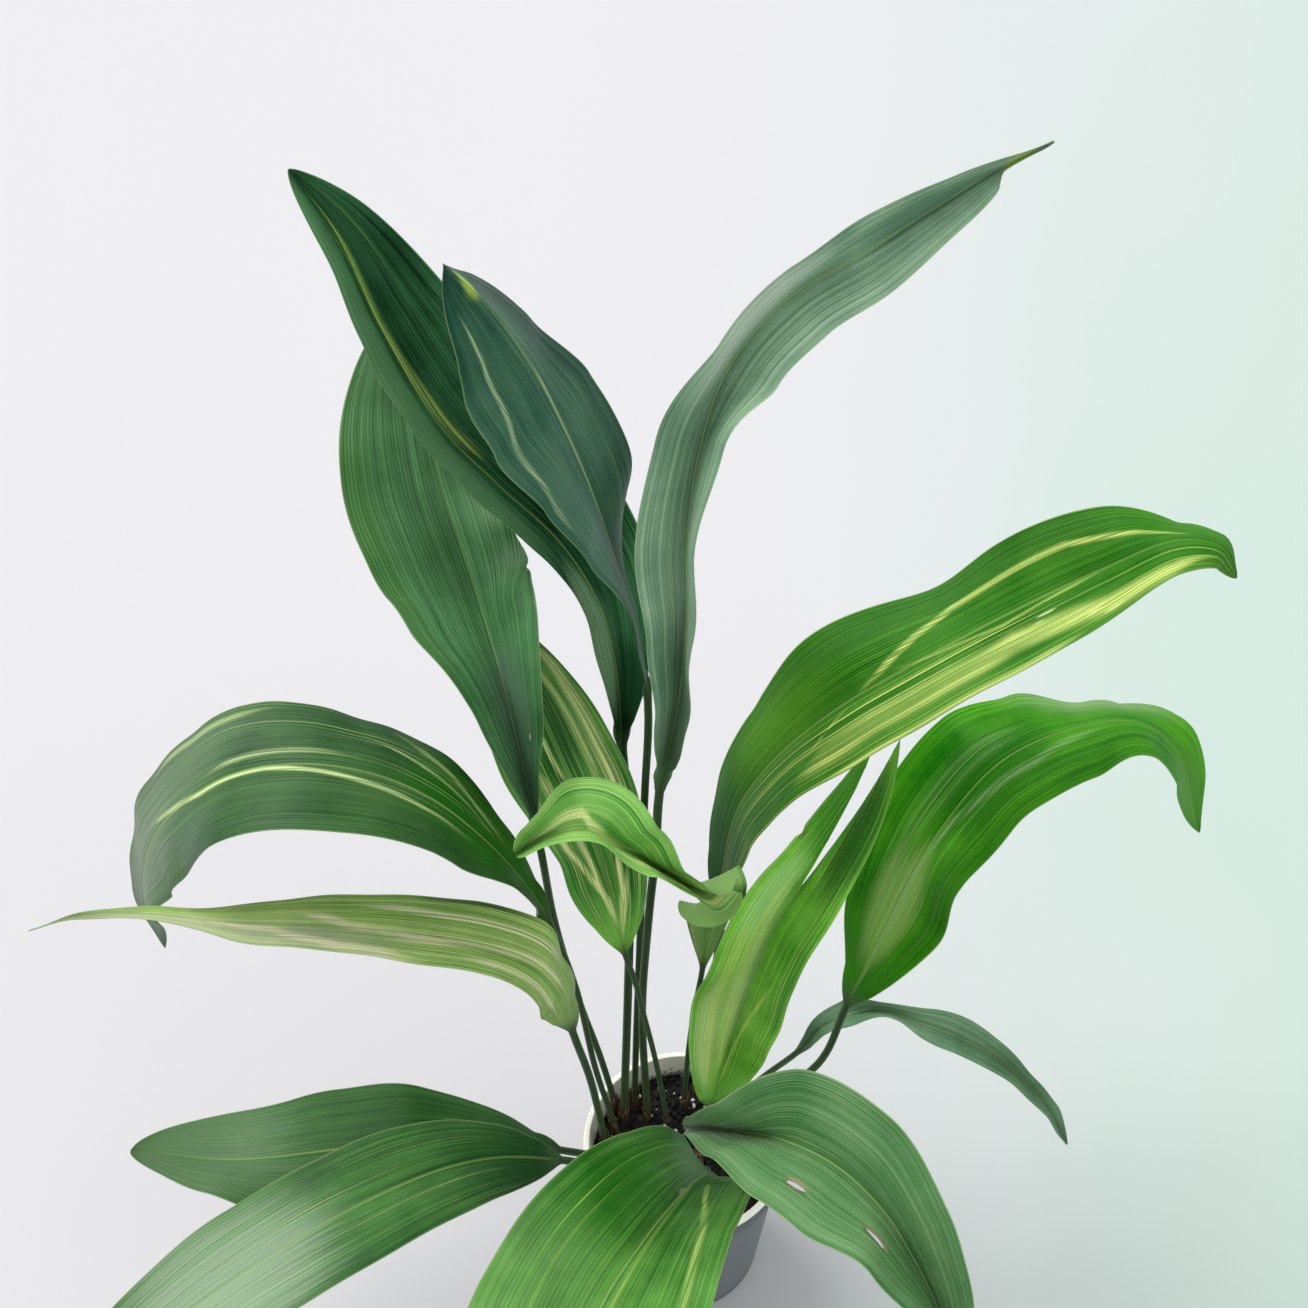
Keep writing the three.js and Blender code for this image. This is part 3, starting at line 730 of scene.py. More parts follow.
@dataclass
class Leaf:
    """One leaf: its line, blade and folds, in millimetres and degrees, with the finish of its faces.

    The folds are rows of a share of the blade's length and the rise of the left and right half there, and the
    edges are rows of a share and what is left of each half's width. The shape is the powers with which the width
    rises from the base and falls to the tip. The curl is how far each half turns over its width. The split is
    where it starts and how wide it opens. A hole is a place across and a share along, with half its size across
    and along.
    """

    name: str
    root: Point
    stalk: float
    width: float
    shape: tuple[float, float]
    seed: int
    stem: tuple[Point, ...]
    blade: tuple[Point, ...]
    fold: Keys
    finish: LeafFinish
    edges: Keys = ((0.0, 1.0, 1.0), (1.0, 1.0, 1.0))
    split: Optional[tuple[float, float]] = None
    holes: tuple[Hole, ...] = ()
    curl: tuple[float, float] = (-14.0, -14.0)
    wave: float = 0.9
    make: LeafMake = LeafMake()

    def spine(self) -> Spine:
        """Return the leaf's middle line."""
        return Spine([self.root, *self.stem, *self.blade], 1 + len(self.stem))

    def stations(self) -> dict[str, Array]:
        """Work out the place, directions and share of the blade at every row.

        The side points along the direction of growth crossed with the way to the light, and the upper
        direction is square to both.

        Returns:
            Arrays by name: point, side, upper, share, length.
        """
        spine = self.spine()
        stalk = np.linspace(-self.make.stalk_depth, spine.blade_from, self.make.stalk_rows, endpoint=False)
        share = gathered(self.make.blade_rows, 0.28)
        length = np.concatenate([stalk, spine.blade_from + share * (spine.total - spine.blade_from)])
        share = np.concatenate([np.zeros(len(stalk)), share])
        point, along = spine.at(length)
        side = unit(np.cross(along, LIGHT_SIDE - point))
        return {"point": point, "side": side, "upper": np.cross(side, along), "share": share, "length": length}

    def half_width(self, t: Array) -> Array:
        """Return half the blade's width.

        It is the share raised to the rise times what is left raised to the fall, scaled to its widest place
        and joined to the stalk's half width and the tip's by the root of the sum of squares.

        Args:
            t: Share of the blade at each row.

        Returns:
            The half width of each row.
        """
        rise, fall = self.shape
        widest = rise / (rise + fall)
        peak = widest ** rise * (1.0 - widest) ** fall
        blade = self.width / 2.0 * t ** rise * (1.0 - t) ** fall / peak
        blade = np.sqrt(blade ** 2 + (self.stalk / 2.0 * (1.0 - t)) ** 2 + self.make.tip_half_width ** 2)
        return np.where(t > 0.0, blade, self.stalk / 2.0)

    def opening(self, t: Array, half: Array, folds: Array) -> Array:
        """Return what the split at the blade's end takes away.

        Args:
            t: Share of the blade at each row.
            half: Half the blade's width at each row.
            folds: Fold of each row's left and right half, in radians.

        Returns:
            The share of each half's width.
        """
        if not self.split:
            return np.zeros_like(folds)
        start, gap = self.split
        reach = np.clip((t - start) / (1.0 - start), 0.0, 1.0) * gap * self.width / 2.0
        return np.minimum((reach / half)[:, None] / np.cos(folds), 0.97)

    def ripples(self, u: Array, t: Array, across: Array, length: float) -> Array:
        """Return how far the sheet is moved along its normal.

        Shallow pleats follow the veins, and slow waves that grow with the square of the place across run
        along each edge.

        Args:
            u: Place across, from -1 to 1.
            t: Share of the blade.
            across: Distance from the midrib.
            length: Length of the blade.

        Returns:
            The movement at every point of the sheet.
        """
        draw = np.random.default_rng(self.seed)
        shortest, longest = self.make.wave_lengths
        waves = np.zeros_like(across)
        for side in (-1.0, 1.0):
            for share, amount in ((1.0, 0.65), (0.47, 0.35)):
                size = (shortest + (longest - shortest) * draw.random()) * share
                phase = draw.random() * TURN
                waves += (side * u > 0) * amount * np.sin(TURN * t * length / size + phase)
        body = smooth(t, 0.04, 0.2) * smooth(t, 1.0, 0.9)
        pleats = np.cos(TURN * self.make.pleats * u) * self.make.pleat_height * smooth(np.abs(across), 1.0, 4.0)
        return (waves * u ** 2 * self.wave + pleats) * body

    def section(self, t: Array, half: Array) -> tuple[Array, Array, Array, Array]:
        """Work out the leaf's cross section at every row.

        Across the leaf each half leaves the midrib at its fold's angle, turns by its curl towards the edge and
        is summed outwards, and near the midrib its angle runs over into the other half's, so that the crease
        is round.

        Args:
            t: Share of the blade at each row.
            half: Half the blade's width at each row.

        Returns:
            Rows of places sideways, upwards and across along the sheet, and of the distance to the edge.
        """
        reach = gathered(self.make.side_columns, 0.4)[None, None, :]
        folds = np.radians(read_keys(self.fold, t)) * np.clip(t / self.make.fold_opens, 0.0, 1.0)[:, None]
        wide = half[:, None] * read_keys(self.edges, t)
        cut = self.opening(t, half, folds)[..., None]
        out = wide[..., None] * (cut + (1.0 - cut) * reach)
        curl = np.radians(self.curl)[None, :, None] * smooth(t, 0.02, 0.2)[:, None, None]
        own = folds[..., None] + curl * (reach - 0.5)
        over = smooth(out, -self.make.crease, self.make.crease)
        rise = own * over - folds[:, ::-1, None] * (1.0 - over)
        steps = np.diff(out, axis=2, prepend=0.0)
        mean = (rise + np.concatenate([rise[..., :1], rise[..., :-1]], axis=2)) / 2.0
        x, z = np.cumsum(steps * np.cos(mean), axis=2), np.cumsum(steps * np.sin(mean), axis=2)
        x, across = (np.concatenate([-v[:, 0, ::-1], v[:, 1]], axis=1) for v in (x, out))
        z = np.concatenate([z[:, 0, ::-1], z[:, 1]], axis=1)
        return x, z, across, np.repeat(wide, self.make.side_columns, axis=1) - np.abs(across)

    def sheet(self) -> dict[str, Array]:
        """Work out the middle surface of the leaf on a grid of rows and columns, doubled at the midrib.

        Returns:
            Arrays by name: middle, normal, u, t, across, length, edge.
        """
        rows = self.stations()
        t, length = rows["share"], rows["length"]
        half = self.half_width(t)
        x, z, across, edge = self.section(t, half)
        grid = rows["point"][:, None] + x[..., None] * rows["side"][:, None] + z[..., None] * rows["upper"][:, None]
        t, onward = (np.repeat(v[:, None], across.shape[1], axis=1) for v in (t, length))
        u = across / half[:, None]
        ripples = self.ripples(u, t, across, length[-1] - length[self.make.stalk_rows])
        grid = grid + ripples[..., None] * self.normals(grid)
        return {"middle": grid, "normal": self.normals(grid), "u": u, "t": t, "across": across, "edge": edge,
                "length": onward}

    def normals(self, grid: Array) -> Array:
        """Work out the normals, which are across crossed with along, and shared at the doubled midrib.

        Args:
            grid: Points of the middle surface.

        Returns:
            A direction of length one for each point.
        """
        normal = unit(np.cross(np.gradient(grid, axis=1), np.gradient(grid, axis=0)))
        inner = self.make.side_columns - 1
        normal[:, inner:inner + 2] = unit(normal[:, inner:inner + 1] + normal[:, inner + 1:inner + 2])
        return normal

    def offsets(self, grid: dict[str, Array]) -> tuple[Array, Array]:
        """Work out how far the upper and the lower face stand off the middle surface.

        On the stalk they are half circles, the upper with a channel. On the blade they stand half a thickness
        off, thinner towards the edge, with a groove over the midrib and a keel under it.

        Args:
            grid: The middle surface.

        Returns:
            The distances above and below.
        """
        make, u, t, across = self.make, grid["u"], grid["t"], grid["across"]
        blend = smooth(t, 0.0, 0.07)
        arc = self.stalk / 2.0 * np.sqrt(np.clip(1.0 - u ** 2, 0.0, 1.0))
        channel = make.channel_depth * self.stalk * bell(u, make.channel_width) * smooth(grid["length"], 0.0, 40.0)
        flat = np.minimum(make.thickness / 2.0, make.edge_thickness / 2.0 + grid["edge"] * make.edge_slope)
        groove = make.groove_depth * bell(across, make.groove_width)
        groove -= make.shoulder_height * bell(np.abs(across) - make.shoulder_at, make.shoulder_width)
        keel = (make.keel_height - make.keel_fall * t) * bell(across, make.keel_width)
        return ((arc - channel) * (1.0 - blend) + (flat - groove) * blend,
                arc * (1.0 - blend) + (flat + keel) * blend)

    def skin(self) -> Skin:
        """Give the middle surface its two faces, close it, and paint its coordinates for the finish.

        Returns:
            The leaf's closed skin.
        """
        grid = self.sheet()
        above, below = self.offsets(grid)
        faces, moved = self.faces(grid)
        both = [moved + above[..., None] * grid["normal"], moved - below[..., None] * grid["normal"]]
        leaf = [np.stack([grid["u"], grid["t"], np.full_like(grid["u"], under)], axis=-1) for under in (0.0, 1.0)]
        place = [np.stack([grid["across"], grid["length"], grid["edge"]], axis=-1)] * 2
        points, leaf, place = (np.reshape(part, (-1, 3)) for part in (both, leaf, place))
        return Skin(points, faces, {"leaf": leaf, "place": place}).trimmed()

    def faces(self, grid: dict[str, Array]) -> tuple[Array, Array]:
        """Join the points of the upper and lower faces into closed quads.

        Below the split both halves share the midrib's points, and above it each half is a ring of its own.
        Round a hole a block of cells is left out, its rim is moved to an ellipse, and a wall joins the faces.

        Args:
            grid: The middle surface.

        Returns:
            The quads, and the middle surface with the rims of its holes moved.
        """
        rows, columns = grid["t"].shape
        h = self.make.side_columns
        top = np.arange(rows * columns).reshape(rows, columns)
        parting = int(np.searchsorted(grid["t"][:, 0], self.split[0])) if self.split else rows - 1
        top[:parting + 1, h] = top[:parting + 1, h - 1]
        bottom = top + rows * columns
        whole = np.delete(np.concatenate([top, bottom[:, ::-1]], axis=1), [h, 2 * columns - 1 - h], axis=1)
        whole = whole[:parting + 1]
        quads = strip_faces(whole)
        middle, keep = grid["middle"].copy(), np.ones(quads.shape[:2], bool)
        walls = [self.pierce(hole, grid, middle, keep, top, bottom) for hole in self.holes]
        parts = [quads[keep], cap_faces(whole[0])[:, ::-1], *walls]
        if not self.split:
            return np.concatenate([*parts, cap_faces(whole[-1])]), middle
        for side, part in enumerate((slice(0, h), slice(h, columns))):
            ring = np.concatenate([top[parting:, part], bottom[parting:, part][:, ::-1]], axis=1)
            last = int(np.argmax(self.closed_rows(grid)[parting:, side])) or len(ring) - 1
            parts += [strip_faces(ring[:last + 1]).reshape(-1, 4), cap_faces(ring[last])]
        return np.concatenate(parts), middle

    def closed_rows(self, grid: dict[str, Array]) -> Array:
        """Tell for each row and half whether the split has taken nearly all of its width."""
        inner = np.abs(grid["across"][:, self.make.side_columns - 1:self.make.side_columns + 1])
        return inner > 0.955 * np.abs(grid["across"][:, [0, -1]])

    def pierce(self, hole: Hole, grid: dict[str, Array], middle: Array, keep: Array, top: Array,
               bottom: Array) -> Array:
        """Cut one hole.

        Args:
            hole: Place across, share along, half size across and half size along.
            grid: The middle surface as it was.
            middle: The middle surface, whose points round the hole are moved to an ellipse.
            keep: Which quads of the rings stay.
            top: Point numbers of the upper face.
            bottom: Point numbers of the lower face.

        Returns:
            The quads of the hole's wall.
        """
        across, share, wide, long = hole
        row = int(np.argmin(np.abs(grid["t"][:, 0] - share)))
        column = int(np.argmin(np.abs(grid["across"][row] - across)))
        rows = max(2, round(long / (grid["length"][row + 1, 0] - grid["length"][row, 0])))
        cols = max(1, round(wide / abs(grid["across"][row, column + 1] - grid["across"][row, column])))
        i = np.concatenate([np.full(2 * cols, -rows), np.arange(-rows, rows), np.full(2 * cols, rows),
                            np.arange(rows, -rows, -1)]) + row
        j = np.concatenate([np.arange(-cols, cols), np.full(2 * rows, cols), np.arange(cols, -cols, -1),
                            np.full(2 * rows, -cols)]) + column
        side, onward = (unit(np.gradient(grid["middle"], axis=axis))[i, j] for axis in (1, 0))
        x, y = grid["across"][i, j] - across, grid["length"][i, j] - grid["length"][row, 0]
        angle = np.arctan2(y / long, x / wide)
        middle[i, j] += (wide * np.cos(angle) - x)[:, None] * side + (long * np.sin(angle) - y)[:, None] * onward
        first = column - cols - (1 if column > self.make.side_columns else 0)
        ring = keep.shape[1]
        keep[row - rows:row + rows, first:first + 2 * cols] = False
        keep[row - rows:row + rows, ring - 1 - first - 2 * cols:ring - 1 - first] = False
        upper, lower = top[i, j], bottom[i, j]
        return np.stack([upper, np.roll(upper, -1), np.roll(lower, -1), lower], axis=-1)

    def build(self) -> bpy.types.Object:
        """Build the leaf and let it stand for its node.

        Returns:
            The leaf's object.
        """
        finish = self.finish.material(self.name + "_finish", float(self.seed))
        piece = self.skin().to_object("fine_" + self.name, finish)
        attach(piece, BODY)
        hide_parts(self.name)
        return piece


# ---------------------------------------------------------------- pot


@dataclass(frozen=True)
class PotPlastic:
    """Grey moulded plastic outside, with a paler cream lip and inner wall, scuffed and splashed with compost.

    Heights and distances are in metres: how far below the rim the cream lip and the band end and begin, how
    thick the cream wall is, and how high the splashes reach inside.
    """

    grey: Colour = Colour(106, 111, 115)
    band: Colour = Colour(84, 90, 94)
    cream: Colour = Colour(244, 242, 228)
    scuff: Colour = Colour(150, 154, 156)
    dirt: Colour = Colour(58, 46, 36)
    lip_drop: tuple[float, float] = (0.0030, 0.0014)
    band_drop: tuple[float, float] = (0.0136, 0.0126)
    cream_wall: tuple[float, float] = (0.0009, 0.0003)
    splash_top: float = 0.104
    scratch_scale: tuple[float, float] = (900.0, 90.0)

    def material(self, inner_at_base: float, inner_slope: float, rim: float) -> bpy.types.Material:
        """Build the plastic.

        Args:
            inner_at_base: Radius of the inner wall at the underside, in metres.
            inner_slope: How fast that radius grows with height.
            rim: Height of the rim, in metres.

        Returns:
            The finished material.
        """
        kit = NodeKit("pot_plastic")
        place = kit.place()
        x, y, z = kit.parts(place)
        cloud, speck = kit.noise(place, 26.0, 4.0, 0.6), kit.noise(place, 420.0, 3.0, 0.7)
        round_scale, up_scale = self.scratch_scale
        scratch = kit.noise(kit.join(x * round_scale, y * round_scale, z * up_scale), 1.0, 2.0, 0.6)
        band, lip = (z.ramp(rim - low, rim - high) for low, high in (self.band_drop, self.lip_drop))
        past_wall = (x * x + y * y) ** 0.5 - (z * inner_slope + inner_at_base)
        paint = kit.scaled(kit.mix(band * 0.7, self.grey, self.band), 0.9 + cloud * 0.2)
        paint = kit.mix(scratch.ramp(0.63, 0.74) * 0.35, paint, self.scuff)
        splash = (speck * 0.7 + cloud * 0.5 - (z - self.splash_top) * 34.0).ramp(0.50, 0.72)
        cream = kit.mix(splash * 0.85, kit.scaled(self.cream, 0.86 + cloud * 0.26), self.dirt)
        paint = kit.mix(past_wall.ramp(*self.cream_wall).at_least(lip), paint, cream)
        foot = (speck * 0.6 + cloud * 0.6 - z * 30.0).ramp(0.42, 0.7)
        paint = kit.mix(foot * 0.5, paint, self.dirt)
        return kit.finish(paint, 0.42 + cloud * 0.25, 0.45, speck * 0.3 + scratch * 0.4, 0.00012)


@dataclass
class Pot:
    """Round nursery pot: a tapered wall with a band and lip above it and drain holes in its floor, in millimetres."""

    height: float = 120.0
    rim_radius: float = 65.0
    inner_base: float = 49.5
    inner_rim: float = 61.0
    wall: float = 1.5
    floor: float = 2.4
    band_height: float = 13.0
    ring_depth: float = 0.35
    lip_round: float = 1.4
    inner_round: float = 0.8
    drains: int = 4
    drain_radius: float = 4.5
    drain_circle: float = 34.0
    drain_reach: float = 4.0
    drain_sides: int = 40
    sectors: int = 192
    sharp_from: float = 35.0
    plastic: PotPlastic = PotPlastic()

    def inner(self, z: float) -> float:
        """Return the radius of the inner wall at a height."""
        return self.inner_base + (self.inner_rim - self.inner_base) * z / self.height

    def outer(self, z: float) -> float:
        """Return the radius of the outer wall at a height."""
        return self.inner(z) + self.wall

    def profile(self) -> Array:
        """Work out the pot's half section.

        It runs from the middle of the underside, which stands on a foot, up the outer wall with its shallow
        rings, out to the band with a groove near its top, over the rounded lip, down the inner wall and over
        the floor.

        Returns:
            Rows of radius and height.
        """
        top, rim, out, turn = self.height, self.rim_radius, self.outer, np.linspace(0.0, np.pi / 2.0, 6)
        band, floor, lip, inside = top - self.band_height, self.floor, self.lip_round, self.inner_round
        rows = [(0.4, 0.9), (20.0, 0.9), (24.0, 0.5), (42.0, 0.5), (44.0, 0.0), (out(0) - 1.6, 0.0),
                (out(0) - 0.7, 0.3), (out(0) - 0.2, 0.9), (out(1.6) - 0.1, 1.6)]
        rows += [(out(z) - (k % 2) * self.ring_depth, z) for k, z in enumerate(np.linspace(3, 12, 7))]
        rows += [(out(z), z) for z in np.linspace(14, band - 1.2, 14)]
        rows += [(out(band) + 0.1, band - 0.4), (out(band) + 0.5, band), (rim - 1.0, band + 0.35),
                 (rim - 0.35, band + 0.7), (rim - 0.05, band + 1.5), (rim, band + 3.0), (rim, top - 3.4),
                 (rim - 0.25, top - 3.0), (rim - 0.25, top - 2.5), (rim, top - 2.1)]
        rows += [(rim - lip + lip * math.cos(a), top - lip + lip * math.sin(a)) for a in turn]
        rows += [(self.inner(top) + inside * (1.0 - math.sin(a)), top - inside * (1.0 - math.cos(a))) for a in turn]
        rows += [(self.inner(z), z) for z in np.linspace(top - 4.0, floor + 2.0, 12)]
        rows += [(self.inner(floor) - 0.7, floor + 0.6), (self.inner(floor) - 2.0, floor), (42.0, floor),
                 (26.0, floor), (12.0, floor + 0.3), (0.4, floor + 0.3)]
        return np.asarray(rows, float)

    def skin(self) -> Skin:
        """Carry the half section round the axis, and close the middles of the underside and floor.

        Returns:
            The closed skin, without drain holes.
        """
        section = self.profile()
        xy = section[:, None, :1] * circle(self.sectors)[None]
        points = np.concatenate([xy, np.broadcast_to(section[:, None, 1:], (*xy.shape[:2], 1))], axis=-1)
        return Skin(points.reshape(-1, 3), tube_faces(np.arange(xy[..., 0].size).reshape(xy.shape[:2])))

    def drain(self, number: int) -> Skin:
        """Return an upright cylinder that cuts one drain hole.

        Args:
            number: Which of the drains, from 0.

        Returns:
            The closed skin.
        """
        turn = (number + 0.5) / self.drains * TURN
        centre = np.array([math.cos(turn), math.sin(turn)]) * self.drain_circle
        ring = circle(self.drain_sides) * self.drain_radius + centre
        heights = (-self.drain_reach, self.drain_reach + self.floor)
        ends = [np.column_stack([ring, np.full(len(ring), z)]) for z in heights]
        return Skin(np.concatenate(ends), tube_faces(np.arange(2 * len(ring)).reshape(2, -1)))

    def build(self) -> bpy.types.Object:
        """Build the pot, cut its drain holes and let it stand for its node.

        Returns:
            The pot's object.
        """
        slope = (self.inner_rim - self.inner_base) / self.height
        finish = self.plastic.material(self.inner_base * MM, slope, self.height * MM)
        piece = self.skin().to_object("fine_pot", finish)
        cutter = Skin.joined([self.drain(k) for k in range(self.drains)]).to_object("drain_cutter", finish)
        cut = piece.modifiers.new("drains", "BOOLEAN")
        cut.object, cut.operation, cut.solver = cutter, "DIFFERENCE", "EXACT"
        apply_modifiers(piece)
        bpy.data.objects.remove(cutter, do_unlink=True)
        piece.data.set_sharp_from_angle(angle=math.radians(self.sharp_from))
        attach(piece, BODY)
        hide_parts("pot")
        return piece


# ---------------------------------------------------------------- compost


@dataclass(frozen=True)
class EarthFinish:
    """Moist dark compost with fibres and paler crumbs."""

    dark: Colour = Colour(6, 7, 6)
    light: Colour = Colour(22, 20, 17)
    wet: Colour = Colour(2, 3, 2)

    def material(self, name: str) -> bpy.types.Material:
        """Build the compost finish.

        Args:
            name: The material's name.

        Returns:
            The finished material.
        """
        kit = NodeKit(name)
        place = kit.place()
        cloud, grit = kit.noise(place, 60.0, 4.0, 0.6), kit.noise(place, 420.0, 4.0, 0.7)
        fibre = kit.cells(place, 520.0)
        paint = kit.mix((grit - 0.35) * 2.2, self.dark, self.light)
        paint = kit.mix(cloud.ramp(0.45, 0.6) * 0.6, paint, self.wet)
        return kit.finish(paint, 0.95 - cloud * 0.25, 0.35, grit * 0.7 + fibre * 0.5, 0.0007)


@dataclass(frozen=True)
class GrainFinish:
    """Loose grains, each with a shade of its own between two colours."""

    low: Colour
    high: Colour
    rough: float = 0.9
    grit: float = 700.0

    def material(self, name: str) -> bpy.types.Material:
        """Build the finish from the grains' painted shade.

        Args:
            name: The material's name.

        Returns:
            The finished material.
        """
        kit = NodeKit(name)
        shade, other, _ = kit.painted("grain")
        speck = kit.noise(kit.place(), self.grit, 3.0, 0.65)
        paint = kit.scaled(kit.mix(shade, self.low, self.high), 0.72 + speck * 0.5 + other * 0.12)
        return kit.finish(paint, self.rough, 0.4, speck, 0.0003)


def lump(detail: int) -> tuple[Array, Array]:
    """Return a round lump of radius one.

    It is the twenty-sided solid, each face cut into four at higher detail and moved out to the sphere.

    Args:
        detail: How often the faces are cut.

    Returns:
        Points and triangles.
    """
    g = (1.0 + 5.0 ** 0.5) / 2.0
    points = unit(np.array([(-1, g, 0), (1, g, 0), (-1, -g, 0), (1, -g, 0), (0, -1, g), (0, 1, g), (0, -1, -g),
                            (0, 1, -g), (g, 0, -1), (g, 0, 1), (-g, 0, -1), (-g, 0, 1)], float))
    faces = np.array([(0, 11, 5), (0, 5, 1), (0, 1, 7), (0, 7, 10), (0, 10, 11), (1, 5, 9), (5, 11, 4), (11, 10, 2),
                      (10, 7, 6), (7, 1, 8), (3, 9, 4), (3, 4, 2), (3, 2, 6), (3, 6, 8), (3, 8, 9), (4, 9, 5),
                      (2, 4, 11), (6, 2, 10), (8, 6, 7), (9, 8, 1)])
    for _ in range(detail):
        edges = np.sort(faces[:, [[0, 1], [1, 2], [2, 0]]].reshape(-1, 2), axis=1)
        both, where = np.unique(edges, axis=0, return_inverse=True)
        middle = len(points) + where.reshape(-1, 3)
        points = np.concatenate([points, unit(points[both].sum(axis=1))])
        a, b, c = faces.T
        ab, bc, ca = middle.T
        faces = np.concatenate([np.stack(t, axis=1) for t in ((a, ab, ca), (b, bc, ab), (c, ca, bc), (ab, bc, ca))])
    return points, faces


@dataclass(frozen=True)
class Scatter:
    """One kind of loose grain on the compost, in millimetres.

    The sizes are the smallest and largest radius, the stretch is along a grain's own three directions, detail is
    the fineness of its lump, sink the share of it that lies in the ground, and spread how much its points are
    pushed in and out. Flat grains lie nearly level, and the others are turned at random.
    """

    name: str
    finish: GrainFinish
    count: int
    sizes: tuple[float, float]
    stretch: Point
    detail: int
    seed: int
    sink: float
    spread: float
    flat: bool = False

    def frames(self, draw: np.random.Generator) -> Array:
        """Draw how each grain is turned.

        Args:
            draw: The random draw.

        Returns:
            One turning matrix for each grain.
        """
        frames = np.linalg.qr(draw.normal(size=(self.count, 3, 3)))[0]
        frames *= np.sign(np.linalg.det(frames))[:, None, None]
        if not self.flat:
            return frames
        tilt = draw.normal(0.0, 0.25, (self.count, 2))
        spin = draw.random(self.count) * TURN
        up = unit(np.column_stack([tilt, np.ones(self.count)]))
        right = unit(np.cross(np.stack([np.cos(spin), np.sin(spin), np.zeros(self.count)], axis=-1), up))
        return np.stack([right, np.cross(up, right), up], axis=-1)

    def skin(self, reach: float, ground: Callable[[Array, Array], Array]) -> Skin:
        """Scatter the grains.

        Each is the round lump with its points pushed in and out at random, stretched, turned, and sunk into the
        ground by a share of its size.

        Args:
            reach: Radius of the round that they lie in.
            ground: Height of the ground at places across and along.

        Returns:
            One skin of all the grains, painted with their shades.
        """
        draw = np.random.default_rng(self.seed)
        base, faces = lump(self.detail)
        far = reach * np.sqrt(draw.random(self.count))
        turn = draw.random(self.count) * TURN
        x, y = far * np.cos(turn), far * np.sin(turn)
        size = self.sizes[0] + (self.sizes[1] - self.sizes[0]) * draw.random(self.count) ** 2.2
        pushed = 1.0 + self.spread * (draw.random((self.count, len(base), 1)) - 0.5)
        shape = base[None] * pushed * np.asarray(self.stretch)
        shape = np.einsum("nij,nkj->nki", self.frames(draw), shape) * size[:, None, None]
        lift = ground(x, y) - shape[..., 2].min(axis=1) * (1.0 - self.sink)
        points = shape + np.stack([x, y, lift], axis=-1)[:, None]
        faces = faces[None] + np.arange(self.count)[:, None, None] * len(base)
        shade = np.repeat(draw.random((self.count, 3)), len(base), axis=0)
        return Skin(points.reshape(-1, 3), faces.reshape(-1, 3), {"grain": shade})


LOOSE = (
    Scatter("compost_crumbs", GrainFinish(Colour(5, 6, 5), Colour(30, 26, 22)),
            1500, (0.5, 2.6), (1.0, 0.85, 0.7), 0, 21, 0.35, 0.6),
    Scatter("perlite", GrainFinish(Colour(196, 180, 172), Colour(232, 228, 220), 0.8, 1200.0),
            150, (0.5, 2.1), (1.0, 0.9, 0.8), 1, 22, 0.45, 0.4),
    Scatter("bark_chips", GrainFinish(Colour(16, 12, 9), Colour(54, 34, 25), 0.8, 500.0),
            34, (1.4, 3.6), (1.0, 0.55, 0.22), 1, 23, 0.3, 0.5, flat=True))


@dataclass
class Compost:
    """The filling of the pot with what lies on it, in millimetres.

    Its top is rough over rings from the heart to the wall and level over the width of its rim, and from the rim's
    drop below that it goes straight down to the floor, whose ring is halfway to the middle.
    """

    pot: Pot
    level: float = 103.0
    gap: float = 0.45
    floor: float = 4.4
    heart: float = 0.15
    first_ring: float = 0.8
    floor_ring: float = 30.0
    rim_width: float = 4.0
    rim_drop: float = 4.0
    bare_edge: float = 3.2
    roughness: float = 0.8
    wall_rows: int = 8
    sectors: int = 200
    rings: int = 110

    def ground(self, x: Array, y: Array) -> Array:
        """Return the compost's height: its broad lumps with rough ground of shorter and shorter waves on them."""
        broad = 1.1 * np.sin(x / 6.1 + 1.0) * np.cos(y / 7.3) + 0.8 * np.sin(x / 3.4 - y / 4.9)
        return self.level + broad + self.roughness * rough_ground(x, y, 1.8, 8.0, 70, 11)

    def skin(self) -> Skin:
        """Work out the top on rings and sectors, and close it down the wall and over the floor.

        Returns:
            The closed skin.
        """
        edge = self.pot.inner(self.level) - self.gap
        depth = np.linspace(self.level - self.rim_drop, self.floor, self.wall_rows)
        radius = np.concatenate([[self.heart], np.linspace(self.first_ring, edge, self.rings)])
        below = [self.pot.inner(d) - self.gap for d in depth] + [self.floor_ring, self.heart]
        xy = np.concatenate([radius, below])[:, None, None] * circle(self.sectors)
        rim = smooth(radius, edge - self.rim_width, edge)[:, None]
        z = self.ground(xy[:len(radius), :, 0], xy[:len(radius), :, 1]) * (1.0 - rim) + (self.level - 1.0) * rim
        low = np.repeat(np.concatenate([depth, [self.floor, self.floor]])[:, None], self.sectors, axis=1)
        points = np.concatenate([xy, np.concatenate([z, low])[..., None]], axis=-1)
        ids = np.arange(xy[..., 0].size).reshape(xy.shape[:2])[::-1]
        return Skin(points.reshape(-1, 3), tube_faces(ids))

    def build(self) -> list[bpy.types.Object]:
        """Build the compost, its crumbs, its perlite and its bark.

        Returns:
            The pieces.
        """
        earth = self.skin().to_object("fine_compost", EarthFinish().material("compost_earth"))
        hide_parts("soil")
        pieces = [earth]
        reach = self.pot.inner(self.level) - self.bare_edge
        for kind in LOOSE:
            finish = kind.finish.material(kind.name + "_finish")
            pieces.append(kind.skin(reach, self.ground).to_object(kind.name, finish, not kind.flat))
        for piece in pieces:
            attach(piece, BODY)
        return pieces


# ---------------------------------------------------------------- dry sheaths


